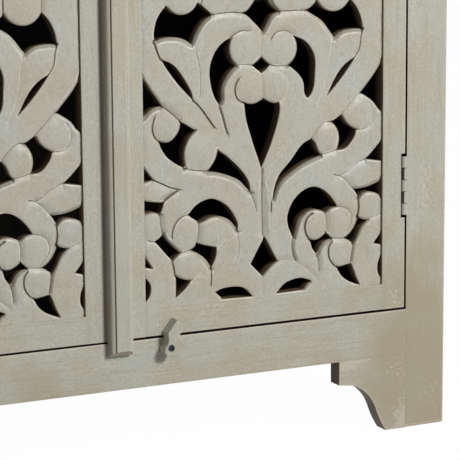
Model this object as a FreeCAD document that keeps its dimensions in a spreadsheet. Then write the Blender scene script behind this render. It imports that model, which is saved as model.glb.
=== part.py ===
import FreeCAD
import Part
import Sketcher
import os
import re
from FreeCAD import Placement, Rotation, Vector

# Tall two-door cabinet of painted wood with pierced, carved door panels.
# Frame: +Z up, the front faces -Y, origin on the floor under the middle of the overall box.

doc = FreeCAD.newDocument("carved_cabinet")
dims = doc.addObject("Spreadsheet::Sheet", "dims")

# Driving dimensions in millimetres: alias, number.
SIZES = [
    # Carcass
    ("body_width", "900"),
    ("body_depth", "440"),
    ("total_height", "1800"),
    ("top_thickness", "30"),
    ("top_overhang", "7"),
    ("top_edge_radius", "9"),
    ("side_thickness", "20"),
    ("back_thickness", "8"),
    ("back_joint", "0.4"),
    ("deck_thickness", "18"),
    ("shelf_thickness", "18"),
    ("shelf_setback", "10"),
    ("shelf_side_gap", "0.5"),
    ("batten_size", "20"),
    ("batten_end_gap", "12"),
    ("rear_rail_height", "58"),
    ("rear_rail_thickness", "22"),
    # Face frame
    ("frame_thickness", "22"),
    ("stile_width", "56"),
    ("bottom_rail_height", "58"),
    ("top_rail_height", "58"),
    # Feet
    ("foot_height", "96"),
    ("foot_base", "84"),
    ("foot_flat", "131"),
    ("foot_reach", "151"),
    ("foot_step", "66"),
    ("foot_flat_drop", "2.5"),
    ("foot_block", "40"),
    # Doors
    ("door_thickness", "21.5"),
    ("door_gap", "2"),
    ("hinge_gap", "2.2"),
    ("meeting_gap", "2.5"),
    ("hinge_stile_width", "32"),
    ("meeting_stile_width", "37"),
    ("door_rail_height", "33"),
    ("tongue_depth", "8"),
    ("tongue_thickness", "6"),
    ("tongue_inset", "8"),
    ("stop_size", "18"),
    ("stop_length", "420"),
    # Carved panels
    ("panel_thickness", "19.5"),
    ("panel_setback", "1"),
    ("panel_band", "20"),
    # Astragal and knob
    ("astragal_width", "29"),
    ("astragal_offset", "3"),
    ("astragal_depth", "13"),
    ("astragal_gap", "0.5"),
    ("astragal_hang", "19"),
    ("astragal_round", "5.2"),
    ("bead_width", "18"),
    ("bead_depth", "2.5"),
    ("bead_end_slope", "2.2"),
    ("knob_length", "24"),
    ("knob_radius", "12"),
    ("knob_neck_radius", "6"),
    ("knob_tenon_radius", "5"),
    ("knob_tenon_length", "11"),
    ("knob_height", "960"),
    # Butt hinges
    ("hinge_length", "75"),
    ("hinge_from_end", "118"),
    ("leaf_thickness", "1"),
    ("leaf_depth", "19"),
    ("leaf_relief", "3.2"),
    ("pin_inset", "1.6"),
    ("pin_radius", "1.75"),
    ("pin_play", "0.05"),
    ("knuckle_radius", "3.5"),
    ("knuckle_gap", "0.2"),
    ("knuckle_recess", "0.5"),
    ("hinge_screw_radius", "1.6"),
    ("hinge_screw_head", "3.2"),
    ("hinge_screw_length", "15"),
    ("hinge_screw_margin", "12"),
    # Turn button on the bottom rail
    ("button_across", "63.5"),
    ("button_drop", "10.3"),
    ("button_thickness", "15.5"),
    ("button_boss_radius", "7.5"),
    ("button_edge_radius", "1"),
    ("button_play", "0.2"),
    ("washer_thickness", "1"),
    ("washer_radius", "6"),
    ("button_screw_radius", "2.1"),
    ("button_screw_head", "4.1"),
    ("button_screw_sink", "4"),
    ("button_screw_bite", "16"),
    # Nails of the back boards
    ("nail_radius", "1.25"),
    ("nail_head_radius", "3"),
    ("nail_head_depth", "1"),
    ("nail_length", "28"),
    ("nail_margin", "45"),
]
for row, (alias, number) in enumerate(SIZES, start=1):
    dims.set(f"A{row}", alias)
    dims.set(f"B{row}", number)
    dims.setAlias(f"B{row}", alias)
doc.recompute()

SHELVES = 3
BACK_BOARDS = 3
HINGES = 3
KNUCKLES = 5
HINGE_SCREWS = 3

# Planes that several pieces share, as formulas in the sheet's words
FRONT_REACH = "(astragal_gap + astragal_depth + bead_depth + knob_length)"
Y_FRONT = f"(({FRONT_REACH} - body_depth) / 2)"
Y_FRAME = f"({Y_FRONT} + frame_thickness)"
Y_BACK = f"(({FRONT_REACH} + body_depth) / 2)"
Y_LINING = f"({Y_BACK} - back_thickness)"
X_SIDE = "(body_width / 2)"
X_INNER = "(body_width / 2 - side_thickness)"
X_OPENING = "(body_width / 2 - stile_width)"
Z_RAIL = "(foot_height + bottom_rail_height)"
Z_DECK = f"({Z_RAIL} - deck_thickness)"
Z_TOP = "(total_height - top_thickness)"
Z_LINTEL = f"({Z_TOP} - top_rail_height)"
Z_DOOR = f"({Z_RAIL} + door_gap)"
DOOR_HEIGHT = f"({Z_LINTEL} - {Z_RAIL} - 2 * door_gap)"
X_MEETING = "(meeting_gap / 2)"
X_DOOR = f"({X_OPENING} - hinge_gap)"
X_PANEL = f"({X_MEETING} + meeting_stile_width)"
X_PANEL_END = f"({X_DOOR} - hinge_stile_width)"
Z_PANEL = f"({Z_DOOR} + door_rail_height)"
PANEL_HEIGHT = f"({DOOR_HEIGHT} - 2 * door_rail_height)"
Y_TONGUE = f"({Y_FRONT} + tongue_inset)"
X_PIN = f"({X_DOOR} - pin_inset)"
SHELF_STEP = f"(({Z_TOP} - {Z_RAIL} - {SHELVES} * shelf_thickness) / {SHELVES + 1} + shelf_thickness)"
HINGE_STEP = f"(({DOOR_HEIGHT} - 2 * hinge_from_end - hinge_length) / {HINGES - 1})"

TOWARDS_RIGHT = Rotation(Vector(0, 1, 0), 90)
TOWARDS_LEFT = Rotation(Vector(0, 1, 0), -90)
TOWARDS_FRONT = Rotation(Vector(1, 0, 0), 90)
FACING_SIDE = Rotation(Vector(1, 1, 1), 120)
NEAR = 1e-6

nodes = []


def bind(piece, prop, formula):
    """Tie a property to a formula written in the sheet's words."""
    piece.setExpression(prop, re.sub(r"[a-z][a-z_0-9]*", r"dims.\g<0>", formula))


def place(piece, x, y, z):
    """Tie the place of a piece to three formulas."""
    for axis, formula in zip("xyz", (x, y, z)):
        bind(piece, f"Placement.Base.{axis}", formula)
    return piece


def node(piece):
    """List a piece as a node of the cabinet."""
    nodes.append(piece)
    return piece


def board(name, size, at):
    """A straight board: length along X, width along Y, height along Z."""
    box = doc.addObject("Part::Box", name)
    for prop, formula in zip(("Length", "Width", "Height"), size):
        bind(box, prop, formula)
    return place(box, *at)


def rod(name, radius, length, at, turn=Rotation()):
    """A round bar from a point, along Z before its turn."""
    bar = doc.addObject("Part::Cylinder", name)
    bar.Placement = Placement(Vector(), turn)
    bind(bar, "Radius", radius)
    bind(bar, "Height", length)
    return place(bar, *at)


def taper(name, radius, end_radius, length, at, turn):
    """A countersunk head: a cone from a point, along Z before its turn."""
    cone = doc.addObject("Part::Cone", name)
    cone.Placement = Placement(Vector(), turn)
    bind(cone, "Radius1", radius)
    bind(cone, "Radius2", end_radius)
    bind(cone, "Height", length)
    return place(cone, *at)


def fuse(name, pieces):
    """One solid from several."""
    joined = doc.addObject("Part::MultiFuse", name)
    joined.Shapes = pieces
    joined.Refine = True
    return joined


def group(name, pieces):
    """Several separate solids under one name."""
    together = doc.addObject("Part::Compound", name)
    together.Links = pieces
    return together


def cut(name, base, tool):
    """A piece with another taken out of it."""
    rest = doc.addObject("Part::Cut", name)
    rest.Base = base
    rest.Tool = tool
    return rest


def mirrored(name, source):
    """The left-hand twin of a right-hand piece."""
    twin = doc.addObject("Part::Mirroring", name)
    twin.Source = source
    twin.Normal = Vector(1, 0, 0)
    return twin


def both_hands(name, source):
    """A right-hand node and its left-hand twin."""
    node(source)
    return source, node(mirrored(f"{name}_left", source))


def sketch_on_base(body, name):
    """An empty sketch on the XY plane of a body."""
    plane = next(item for item in body.Origin.OriginFeatures if item.Role == "XY_Plane")
    sketch = body.newObject("Sketcher::SketchObject", name)
    sketch.AttachmentSupport = (plane, [""])
    sketch.MapMode = "FlatFace"
    return sketch


def pad(body, name, sketch, length):
    """A pad of a sketch, with its length tied to a formula."""
    feature = body.newObject("PartDesign::Pad", name)
    feature.Profile = sketch
    bind(feature, "Length", length)
    return feature


def draw(sketch, runs):
    """Draw a closed outline of runs: two points make a line, three an arc through the middle one."""
    for run in runs:
        points = [Vector(x, y, 0) for x, y in run]
        if len(points) == 2:
            sketch.addGeometry(Part.LineSegment(*points), False)
        else:
            sketch.addGeometry(Part.Arc(*points), False)


def rectangle(body, name, width, height, corner_x="0", corner_y="0"):
    """A rectangle sketch with its size and its lower left corner tied to formulas."""
    sketch = sketch_on_base(body, name)
    corners = [(1, 1), (2, 1), (2, 2), (1, 2)]
    draw(sketch, [(corners[i], corners[(i + 1) % 4]) for i in range(4)])
    for i in range(4):
        sketch.addConstraint(Sketcher.Constraint("Coincident", i, 2, (i + 1) % 4, 1))
    for i, direction in enumerate(("Horizontal", "Vertical", "Horizontal", "Vertical")):
        sketch.addConstraint(Sketcher.Constraint(direction, i))
    for label, kind, first, last, formula in (
        ("width", "DistanceX", (0, 1), (0, 2), width),
        ("height", "DistanceY", (1, 1), (1, 2), height),
        ("corner_x", "DistanceX", (-1, 1), (0, 1), corner_x),
        ("corner_y", "DistanceY", (-1, 1), (0, 1), corner_y),
    ):
        if formula == "0":
            sketch.addConstraint(Sketcher.Constraint(kind, *first, *last, 0))
            continue
        index = sketch.addConstraint(Sketcher.Constraint(kind, *first, *last, 1))
        sketch.renameConstraint(index, label)
        bind(sketch, f"Constraints.{label}", formula)
    return sketch


# Lengths that the drawn outlines need as numbers
measures = doc.addObject("App::FeaturePython", "measures")


def measured(**formulas):
    """The numbers that some formulas give now."""
    for name, formula in formulas.items():
        measures.addProperty("App::PropertyFloat", name)
        bind(measures, name, formula)
    measures.recompute()
    return [getattr(measures, name) for name in formulas]


def size(alias):
    """The number in one cell of the sheet."""
    return float(dims.get(alias))


# Nails that hold the back boards to the deck, the shelves and the rear rail
def nail(index, x, z):
    """One flat-headed nail, driven in from the back."""
    shank = rod(f"nail_shank_{index}", "nail_radius", "nail_length", (x, Y_BACK, z), TOWARDS_FRONT)
    head = rod(f"nail_head_{index}", "nail_head_radius", "nail_head_depth", (x, Y_BACK, z), TOWARDS_FRONT)
    return fuse(f"nail_{index}", [shank, head])


BOARD_STEP = f"(2 * {X_INNER} / {BACK_BOARDS})"
nail_heights = [f"({Z_RAIL} - deck_thickness / 2)", f"({Z_TOP} - rear_rail_height / 2)"]
nail_heights += [f"({Z_RAIL} + {i} * {SHELF_STEP} - shelf_thickness / 2)" for i in range(1, SHELVES + 1)]
nails = []
for k in range(BACK_BOARDS):
    for edge in (f"{k} * {BOARD_STEP} + nail_margin", f"{k + 1} * {BOARD_STEP} - nail_margin"):
        for height in nail_heights:
            nails.append(nail(len(nails), f"{edge} - {X_INNER}", height))
back_nails = node(group("back_board_nails", nails))

# Carcass boards
side = board(
    "side_panel_right",
    ("side_thickness", f"{Y_BACK} - {Y_FRAME}", f"{Z_TOP} - foot_height"),
    (X_INNER, Y_FRAME, "foot_height"),
)
both_hands("side_panel", side)

deck_board = board(
    "deck_blank",
    (f"2 * {X_INNER}", f"{Y_LINING} - {Y_FRAME}", "deck_thickness"),
    (f"-{X_INNER}", Y_FRAME, Z_DECK),
)
node(cut("bottom_board", deck_board, back_nails))

SHELF_NAMES = ("lower", "middle", "upper")
battens = []
for i, shelf_name in enumerate(SHELF_NAMES, start=1):
    shelf_z = f"({Z_RAIL} + {i} * {SHELF_STEP} - shelf_thickness)"
    shelf_y = f"({Y_FRAME} + shelf_setback)"
    blank = board(
        f"shelf_blank_{shelf_name}",
        (f"2 * ({X_INNER} - shelf_side_gap)", f"{Y_LINING} - {shelf_y}", "shelf_thickness"),
        (f"shelf_side_gap - {X_INNER}", shelf_y, shelf_z),
    )
    node(cut(f"shelf_{shelf_name}", blank, back_nails))
    batten = board(
        f"batten_{shelf_name}",
        ("batten_size", f"{Y_LINING} - {shelf_y} - 2 * batten_end_gap", "batten_size"),
        (f"{X_INNER} - batten_size", f"{shelf_y} + batten_end_gap", f"{shelf_z} - batten_size"),
    )
    battens.append(batten)
both_hands("shelf_battens", group("shelf_battens_right", battens))

rear_rail = board(
    "rear_rail_blank",
    (f"2 * {X_INNER}", "rear_rail_thickness", "rear_rail_height"),
    (f"-{X_INNER}", f"{Y_LINING} - rear_rail_thickness", f"{Z_TOP} - rear_rail_height"),
)
node(cut("rear_rail_top", rear_rail, back_nails))

for k, place_name in enumerate(("left", "middle", "right")):
    blank = board(
        f"back_blank_{place_name}",
        (f"{BOARD_STEP} - back_joint", "back_thickness", f"{Z_TOP} - foot_height"),
        (f"{k} * {BOARD_STEP} + back_joint / 2 - {X_INNER}", Y_LINING, "foot_height"),
    )
    node(cut(f"back_board_{place_name}", blank, back_nails))

# Top board with its front and side edges rounded over
top = node(doc.addObject("PartDesign::Body", "top_board"))
TOP_WIDTH = "(body_width + 2 * top_overhang)"
TOP_DEPTH = "(body_depth + top_overhang)"
top_pad = pad(top, "top_pad", rectangle(top, "top_sketch", TOP_WIDTH, TOP_DEPTH), "top_thickness")
place(top, f"-{TOP_WIDTH} / 2", f"{Y_FRONT} - top_overhang", Z_TOP)
doc.recompute()


def edges_where(feature, test):
    """Names of the edges of a feature whose middle passes a test."""
    names = []
    for index, edge in enumerate(feature.Shape.Edges, start=1):
        if test(edge.BoundBox.Center, edge.BoundBox):
            names.append(f"Edge{index}")
    return names


def round_over(body, name, feature, test, radius):
    """A fillet on the edges of a feature that pass a test."""
    fillet = body.newObject("PartDesign::Fillet", name)
    fillet.Base = (feature, edges_where(feature, test))
    bind(fillet, "Radius", radius)
    return fillet


def slope_off(body, name, feature, test, width):
    """A chamfer on the edges of a feature that pass a test."""
    chamfer = body.newObject("PartDesign::Chamfer", name)
    chamfer.Base = (feature, edges_where(feature, test))
    bind(chamfer, "Size", width)
    return chamfer


top_front = size("body_depth") + size("top_overhang")
round_over(
    top,
    "top_round",
    top_pad,
    lambda middle, box: box.ZLength < NEAR and middle.y < top_front - NEAR,
    "top_edge_radius",
)

# Face frame
frame_rail = board(
    "face_rail_top",
    (f"2 * {X_OPENING}", "frame_thickness", "top_rail_height"),
    (f"-{X_OPENING}", Y_FRONT, Z_LINTEL),
)
node(frame_rail)

# Feet: ogee brackets beside the stiles and along the sides, with corner blocks behind
def foot_outline(start):
    """Outline of a bracket, seen from the front with the leg's outer edge at zero."""
    base, flat, reach = size("foot_base"), size("foot_flat"), size("foot_reach")
    step, height = size("foot_step"), size("foot_height")
    flat_end = step - size("foot_flat_drop")

    def ogee(across, down):
        """A point of the ogee as shares of its run and its drop."""
        return (flat - across * (flat - base), flat_end * (1 - down))

    turn = ogee(0.69, 0.53)
    return [
        ((start, 0), (base, 0)),
        ((base, 0), ogee(0.82, 0.765), turn),
        (turn, ogee(0.397, 0.189), (flat, flat_end)),
        ((flat, flat_end), (reach, step)),
        ((reach, step), (reach, height)),
        ((reach, height), (start, height)),
        ((start, height), (start, 0)),
    ]


def foot_bracket(name, start, turn, thickness):
    """One ogee bracket as a padded outline."""
    body = doc.addObject("PartDesign::Body", name)
    sketch = sketch_on_base(body, f"{name}_outline")
    draw(sketch, foot_outline(start))
    pad(body, f"{name}_pad", sketch, thickness)
    body.Placement = Placement(Vector(), turn)
    return body


front_bracket = foot_bracket(
    "foot_bracket_front_left", size("stile_width"), TOWARDS_FRONT, "frame_thickness"
)
place(front_bracket, f"-{X_SIDE}", Y_FRAME, "0")
node(front_bracket)
node(mirrored("foot_bracket_front_right", front_bracket))
side_bracket = foot_bracket(
    "foot_bracket_side_right", size("frame_thickness"), FACING_SIDE, "side_thickness"
)
both_hands("foot_bracket_side", place(side_bracket, X_INNER, Y_FRONT, "0"))
rear_turn = Rotation(Vector(0, 0, 1), 180) * FACING_SIDE
rear_bracket = foot_bracket("foot_bracket_rear_left", 0, rear_turn, "side_thickness")
place(rear_bracket, f"-{X_INNER}", Y_BACK, "0")
node(rear_bracket)
node(mirrored("foot_bracket_rear_right", rear_bracket))

for end, block_y in (("front", Y_FRAME), ("rear", f"({Y_LINING} - foot_block)")):
    block = board(
        f"foot_block_{end}_right",
        ("foot_block", "foot_block", Z_DECK),
        (f"{X_INNER} - foot_block", block_y, "0"),
    )
    both_hands(f"foot_block_{end}", block)

# Door stops behind the meeting stiles
STOP_AT = ("-stop_length / 2", Y_FRAME)
for end, stop_z, stop_height in (
    ("bottom", Z_RAIL, "stop_size"),
    ("top", f"{Z_LINTEL} - stop_size", "top_rail_height + stop_size"),
):
    node(board(f"door_stop_{end}", ("stop_length", "stop_size", stop_height), (*STOP_AT, stop_z)))

# Butt hinges: knuckles 1, 3 and 5 belong to the door leaf, 2 and 4 to the frame leaf
KNUCKLE_STEP = f"((hinge_length + knuckle_gap) / {KNUCKLES})"
SCREW_STEP = f"((hinge_length - 2 * hinge_screw_margin) / {HINGE_SCREWS - 1})"
Y_LEAF = f"({Y_FRONT} + leaf_relief)"
Y_SCREW = f"({Y_LEAF} + (leaf_depth - leaf_relief) / 2)"


def hinge_leaf(name, plate_x, base_z, knuckles, bore):
    """One leaf: its plate, the tongues to its knuckles and the knuckles, bored for the pin."""
    plate_size = ("leaf_thickness", "leaf_depth - leaf_relief", "hinge_length")
    pieces = [board(f"{name}_plate", plate_size, (plate_x, Y_LEAF, base_z))]
    for k in knuckles:
        knuckle_z = f"({base_z} + {k} * {KNUCKLE_STEP})"
        height = f"({KNUCKLE_STEP} - knuckle_gap)"
        tongue_size = ("leaf_thickness", "leaf_relief", height)
        pieces.append(board(f"{name}_tongue_{k}", tongue_size, (plate_x, Y_FRONT, knuckle_z)))
        pieces.append(rod(f"{name}_knuckle_{k}", "knuckle_radius", height, (X_PIN, Y_FRONT, knuckle_z)))
    bored = rod(f"{name}_bore", bore, "hinge_length", (X_PIN, Y_FRONT, base_z))
    return cut(f"{name}_leaf", fuse(f"{name}_blank", pieces), bored)


def hinge_screw(name, head_x, z, turn):
    """One countersunk wood screw, its head flush with the leaf."""
    at = (head_x, Y_SCREW, z)
    head = taper(f"{name}_head", "hinge_screw_head", "hinge_screw_radius", "leaf_thickness", at, turn)
    shank = rod(f"{name}_shank", "hinge_screw_radius", "hinge_screw_length", at, turn)
    return fuse(name, [head, shank])


frame_leaves, door_leaves, pins, frame_screws, door_screws, recesses = [], [], [], [], [], []
X_FRAME_LEAF = f"({X_OPENING} - leaf_thickness)"
X_DOOR_HEAD = f"({X_DOOR} + leaf_thickness)"
DOOR_BORE = "pin_radius + pin_play"
for i in range(HINGES):
    hinge_z = f"({Z_DOOR} + hinge_from_end + {i} * {HINGE_STEP})"
    frame_leaves.append(hinge_leaf(f"frame_{i}", X_FRAME_LEAF, hinge_z, range(1, KNUCKLES, 2), "pin_radius"))
    door_leaves.append(hinge_leaf(f"door_{i}", X_DOOR, hinge_z, range(0, KNUCKLES, 2), DOOR_BORE))
    pins.append(rod(f"pin_{i}", "pin_radius", "hinge_length", (X_PIN, Y_FRONT, hinge_z)))
    recesses.append(
        rod(
            f"recess_{i}",
            "knuckle_radius + knuckle_recess",
            "hinge_length + 2 * knuckle_recess",
            (X_PIN, Y_FRONT, f"{hinge_z} - knuckle_recess"),
        )
    )
    for k in range(HINGE_SCREWS):
        screw_z = f"({hinge_z} + hinge_screw_margin + {k} * {SCREW_STEP})"
        frame_screws.append(hinge_screw(f"frame_screw_{i}_{k}", X_FRAME_LEAF, screw_z, TOWARDS_RIGHT))
        door_screws.append(hinge_screw(f"door_screw_{i}_{k}", X_DOOR_HEAD, screw_z, TOWARDS_LEFT))

frame_screw_set = group("hinge_frame_screws_right", frame_screws)
door_screw_set = group("hinge_door_screws_right", door_screws)
both_hands("hinge_frame_screws", frame_screw_set)
both_hands("hinge_door_screws", door_screw_set)
both_hands("hinge_pins", group("hinge_pins_right", pins))
frame_leaf_set = cut("hinge_frame_leaves_right", group("frame_leaf_blanks", frame_leaves), frame_screw_set)
door_leaf_set = cut("hinge_door_leaves_right", group("door_leaf_blanks", door_leaves), door_screw_set)
both_hands("hinge_frame_leaves", frame_leaf_set)
both_hands("hinge_door_leaves", door_leaf_set)

stile_blank = board("face_stile_blank", ("stile_width", "frame_thickness", Z_TOP), (X_OPENING, Y_FRONT, "0"))
both_hands("face_stile", cut("face_stile_right", stile_blank, frame_screw_set))

# Door frames: grooved stiles, and rails whose stub tenons fill the grooves
def door_board(name, x, width, z, height):
    """A board of the door's own thickness."""
    return board(name, (width, "door_thickness", height), (x, Y_FRONT, z))


def tongue_board(name, x, width, z, height):
    """A board of the tongue's thickness, for grooves and tenons."""
    return board(name, (width, "tongue_thickness", height), (x, Y_TONGUE, z))


TENON_X = f"({X_PANEL} - tongue_depth)"
meeting_blank = door_board("meeting_blank", X_MEETING, "meeting_stile_width", Z_DOOR, DOOR_HEIGHT)
meeting_groove = tongue_board("meeting_groove", TENON_X, "tongue_depth", Z_DOOR, DOOR_HEIGHT)
both_hands("door_meeting_stile", cut("door_meeting_stile_right", meeting_blank, meeting_groove))

hinge_blank = door_board("hinge_stile_blank", X_PANEL_END, "hinge_stile_width", Z_DOOR, DOOR_HEIGHT)
hinge_groove = tongue_board("hinge_stile_groove", X_PANEL_END, "tongue_depth", Z_DOOR, DOOR_HEIGHT)
hinge_cuts = group("hinge_stile_cuts", [hinge_groove, door_screw_set, *recesses])
both_hands("door_hinge_stile", cut("door_hinge_stile_right", hinge_blank, hinge_cuts))

PANEL_WIDTH = f"({X_PANEL_END} - {X_PANEL})"
TENON_WIDTH = f"({PANEL_WIDTH} + 2 * tongue_depth)"
for end, rail_z, groove_z in (
    ("bottom", Z_DOOR, f"({Z_PANEL} - tongue_depth)"),
    ("top", f"({Z_PANEL} + {PANEL_HEIGHT})", f"({Z_PANEL} + {PANEL_HEIGHT})"),
):
    rail = door_board(f"door_rail_body_{end}", X_PANEL, PANEL_WIDTH, rail_z, "door_rail_height")
    tenon = tongue_board(f"door_rail_tenon_{end}", TENON_X, TENON_WIDTH, rail_z, "door_rail_height")
    groove = tongue_board(f"door_rail_groove_{end}", TENON_X, TENON_WIDTH, groove_z, "tongue_depth")
    rail_blank = fuse(f"door_rail_blank_{end}", [rail, tenon])
    both_hands(f"door_rail_{end}", cut(f"door_rail_{end}_right", rail_blank, groove))

# Carving: openings of half a motif, measured across from its middle line and up from its foot. The two
# halves were cut by hand and differ. An opening is a ring of edges, each given from its first corner on and
# ending at the next edge's first.
MOTIF_HALF_WIDTH = 160.5
MOTIF_HALF_HEIGHT = 367
PAST_BORDER = 163
RIGHT_OPENINGS = [
    # Lens at the foot
    [[(12.5, 2.4), (25, 14.5), (36, 18.3), (48, 18.9)], [(61.5, 14.1), (55, 9)], [(51, 3.5)]],
    # Between the arch and the branch
    [
        [(8, 118), (12.8, 139.5), (19, 150.7), (33.4, 165.7), (50, 184.5)],
        [(62.5, 190.5), (67, 183), (70.5, 175)],
        [(75.5, 169), (66, 166), (47, 158.5), (32, 149.5), (18, 138.5)],
    ],
    # Inside the arch
    [
        [(36.2, 69), (32.6, 77), (28.4, 89.5), (32.7, 109.5), (47.7, 125.7), (64, 130.7), (80.2, 124.5)],
        [(98, 103.5), (88, 101.8)],
        [(81, 97), (69, 102), (54, 99.5), (42.7, 89.5), (38.8, 78)],
    ],
    # Under the small scroll
    [
        [(59.6, 64.8), (66.5, 64.4), (74, 67)],
        [(82, 72.6), (85.5, 69)],
        [(90.2, 64.5), (79, 60.7), (72, 53)],
        [(68.6, 46.4), (62.5, 54.5)],
    ],
    # Beside the arch's volute
    [
        [(107.5, 63), (114, 67.6), (120.2, 74.5), (124.3, 82)],
        [(126.5, 87.6), (134, 84.5)],
        [(140.9, 82.9), (131.5, 74.5), (126.5, 65.7), (122.7, 58.2)],
        [(120, 54.5), (114, 59.5)],
    ],
    # Under the lower scroll
    [
        [(96.5, 28), (103, 28.4), (110, 29.7)],
        [(116.7, 30.8), (119, 25.7), (122.7, 15.7)],
        [(129.5, 2), (114, 8.2), (106.5, 13.2), (100.2, 20.7)],
    ],
    # Notches and crescents along the border
    [[(148.4, 53.2), (154, 60)], [(PAST_BORDER, 71)], [(PAST_BORDER, 49.4)]],
    [
        [(160.5, 38), (156.5, 32), (154.4, 23.2), (156, 13)],
        [(160.5, 7.6)],
        [(PAST_BORDER, 7.6)],
        [(PAST_BORDER, 38)],
    ],
    [
        [(120.2, 123.6), (131.5, 123.9), (144, 126.2), (155, 130.2)],
        [(PAST_BORDER, 134)],
        [(PAST_BORDER, 109), (153, 115.6), (144, 118.2), (134, 117.9)],
        [(127.1, 112.6), (124, 117.2)],
    ],
    [
        [(135.9, 159.5), (142.5, 165), (150, 172.3)],
        [(PAST_BORDER, 185.5)],
        [(PAST_BORDER, 155), (149, 157.3)],
    ],
    [
        [(129, 242), (137.7, 252), (146.5, 262), (154, 272.2)],
        [(PAST_BORDER, 289)],
        [(PAST_BORDER, 215), (154.6, 220.7), (148, 229), (140, 235.6)],
    ],
    # Between the berry and the volute
    [
        [(89.6, 209.2), (96.5, 213.2)],
        [(102.7, 217), (106.5, 210.7), (112.7, 203.9)],
        [(124, 197), (121.5, 189.5), (116.5, 182), (108, 174.6)],
        [(96.5, 173.5), (99.4, 184), (98.2, 197)],
    ],
    # Lens between the leaf and the branch
    [[(82.7, 240.7), (89, 253.2), (98, 268), (108, 278.4)], [(122.7, 287), (111.5, 272), (96, 254)]],
    # Between the heart, the leaf and the eye
    [
        [(53.7, 345.7), (62.5, 350.6)],
        [(69.5, 357), (74.5, 350.3), (82, 345.2), (92, 343), (102, 345.2), (109.5, 350.3)],
        [(115.5, 357), (122, 349.5), (129, 336)],
        [(132.7, 320), (123, 321), (113, 320.5), (102, 318)],
        [(93, 311.5), (86.5, 319.5), (75, 333), (65, 339.5)],
    ],
    # Crescent inside the heart
    [
        [(30.2, 280.7), (38.7, 290), (41.8, 301), (40.8, 309)],
        [(37.7, 315.7), (51.5, 310.1), (61, 300.5), (66.5, 287), (66.3, 268), (60.2, 243), (56.5, 240)]
        + [(53, 243.5), (51, 257), (43, 270.4)],
    ],
]
# Openings of the left half, measured to the left, in the same order from the foot up
LEFT_OPENINGS = [
    [
        [(18.4, 2), (24, 8.2), (30.5, 14), (38, 16.4), (50, 17.2), (61.5, 15.8)],
        [(69.6, 12.6), (65.5, 9)],
        [(60, 3)],
    ],
    [
        [(21, 130.8), (26.5, 136), (31.5, 141.4), (38, 147), (48, 152), (60, 156.4)],
        [(79, 159.8), (72.8, 166.6), (68, 174)],
        [(64.4, 185.6), (60, 182), (52.8, 177), (46.5, 171.4), (40.2, 165.6), (32.8, 157.6), (26.5, 149.5)]
        + [(22.6, 140.6)],
    ],
    [
        [(39, 85.8), (44, 92.6), (50.2, 98.9), (59, 103.6), (68, 104.8), (77, 103.3), (84, 100.2)],
        [(90.2, 98), (94, 102), (99, 105.6)],
        [(104, 109.4), (97.8, 117), (90.2, 122.6), (81.5, 126), (74, 127), (66.5, 125.2), (60, 122)]
        + [(52.5, 116.6), (46.5, 109.5), (42, 102), (38.4, 93)],
    ],
    [
        [(66.9, 67.6), (80, 70.6)],
        [(93.4, 74.8), (96.8, 70.4)],
        [(101.5, 67), (90.2, 60.8), (82.5, 54.5), (77.6, 48)],
        [(74.6, 42.6), (69.5, 52), (67, 61)],
    ],
    [
        [(114.2, 64.5), (120.4, 60)],
        [(125, 55.6), (131.5, 62.6), (139, 71.2)],
        [(147, 80.8), (141.5, 84)],
        [(136.5, 88.9), (132.8, 82.6), (126.5, 75.8), (120.2, 69.5)],
    ],
    [[(100.6, 30.1), (110, 32)], [(121.3, 37), (121, 24)], [(121.7, 10.8), (111.5, 18.2)]],
    [[(151.2, 49), (156.8, 58)], [(PAST_BORDER, 71.5)], [(PAST_BORDER, 51)]],
    [
        [(160.5, 39), (155.5, 33), (153.4, 26), (156, 15)],
        [(160.5, 8)],
        [(PAST_BORDER, 8)],
        [(PAST_BORDER, 39)],
    ],
    [
        [(135.2, 127), (148, 128.6)],
        [(PAST_BORDER, 131.6)],
        [(PAST_BORDER, 113.5), (151, 116.6)],
        [(140.4, 113.4), (137, 121)],
    ],
    [[(148.4, 154.8), (155, 163)], [(PAST_BORDER, 175)], [(PAST_BORDER, 151), (155, 153.8)]],
    [
        [(136.5, 241.4), (142.8, 250.8), (150.2, 260.6), (157.6, 272)],
        [(PAST_BORDER, 285.5)],
        [(PAST_BORDER, 224.6), (157.6, 232), (151.5, 237.6), (144, 240.8)],
    ],
    [
        [(93.6, 210.4), (100.2, 203.2), (106.4, 193.2), (109, 184), (109.2, 175)],
        [(108.8, 166.4), (116.5, 170.2), (124, 175.2), (130.6, 180.6), (135.4, 187), (139, 193.4)],
        [(140.8, 199.8), (131, 198.2), (124, 200.8), (117.8, 207), (114, 214.5)],
        [(113.4, 222.4), (104, 217)],
    ],
    [
        [(96, 245.8), (102.8, 252.6), (114, 264.5), (124, 277), (131.5, 287.4)],
        [(136.5, 295.8), (126.5, 292.4), (117.8, 286), (109, 274.6), (102, 263.2), (97.8, 254.6)],
    ],
    [
        [(69.6, 345.1), (79, 340.8), (86.5, 333.2), (92.8, 323.4)],
        [(97.5, 312.2), (102.8, 315.8), (111.5, 320), (124, 321.6), (135, 321)],
        [(144.6, 317.2), (145.4, 325), (144.6, 332), (142.6, 340), (139, 347), (134, 353.2)],
        [(129, 357.8), (124, 352.4), (117.8, 348.4), (109, 347), (100.2, 348.9), (92.8, 353.8)],
        [(87.6, 360.4), (79, 353.6)],
    ],
    [
        [(62, 239.6), (64.6, 242), (67.8, 247), (71.5, 257), (74, 269.5), (74.4, 279.5), (72, 290.8)]
        + [(67.8, 300), (61.5, 308.2), (54, 313.9)],
        [(45.9, 317.6), (48, 310.6), (48.8, 303), (47.6, 296.6), (44.6, 290)],
        [(39.6, 283.9), (46.5, 278.2), (52.8, 270.6), (57.8, 262), (59.8, 252), (59.8, 243)],
    ],
]
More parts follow.
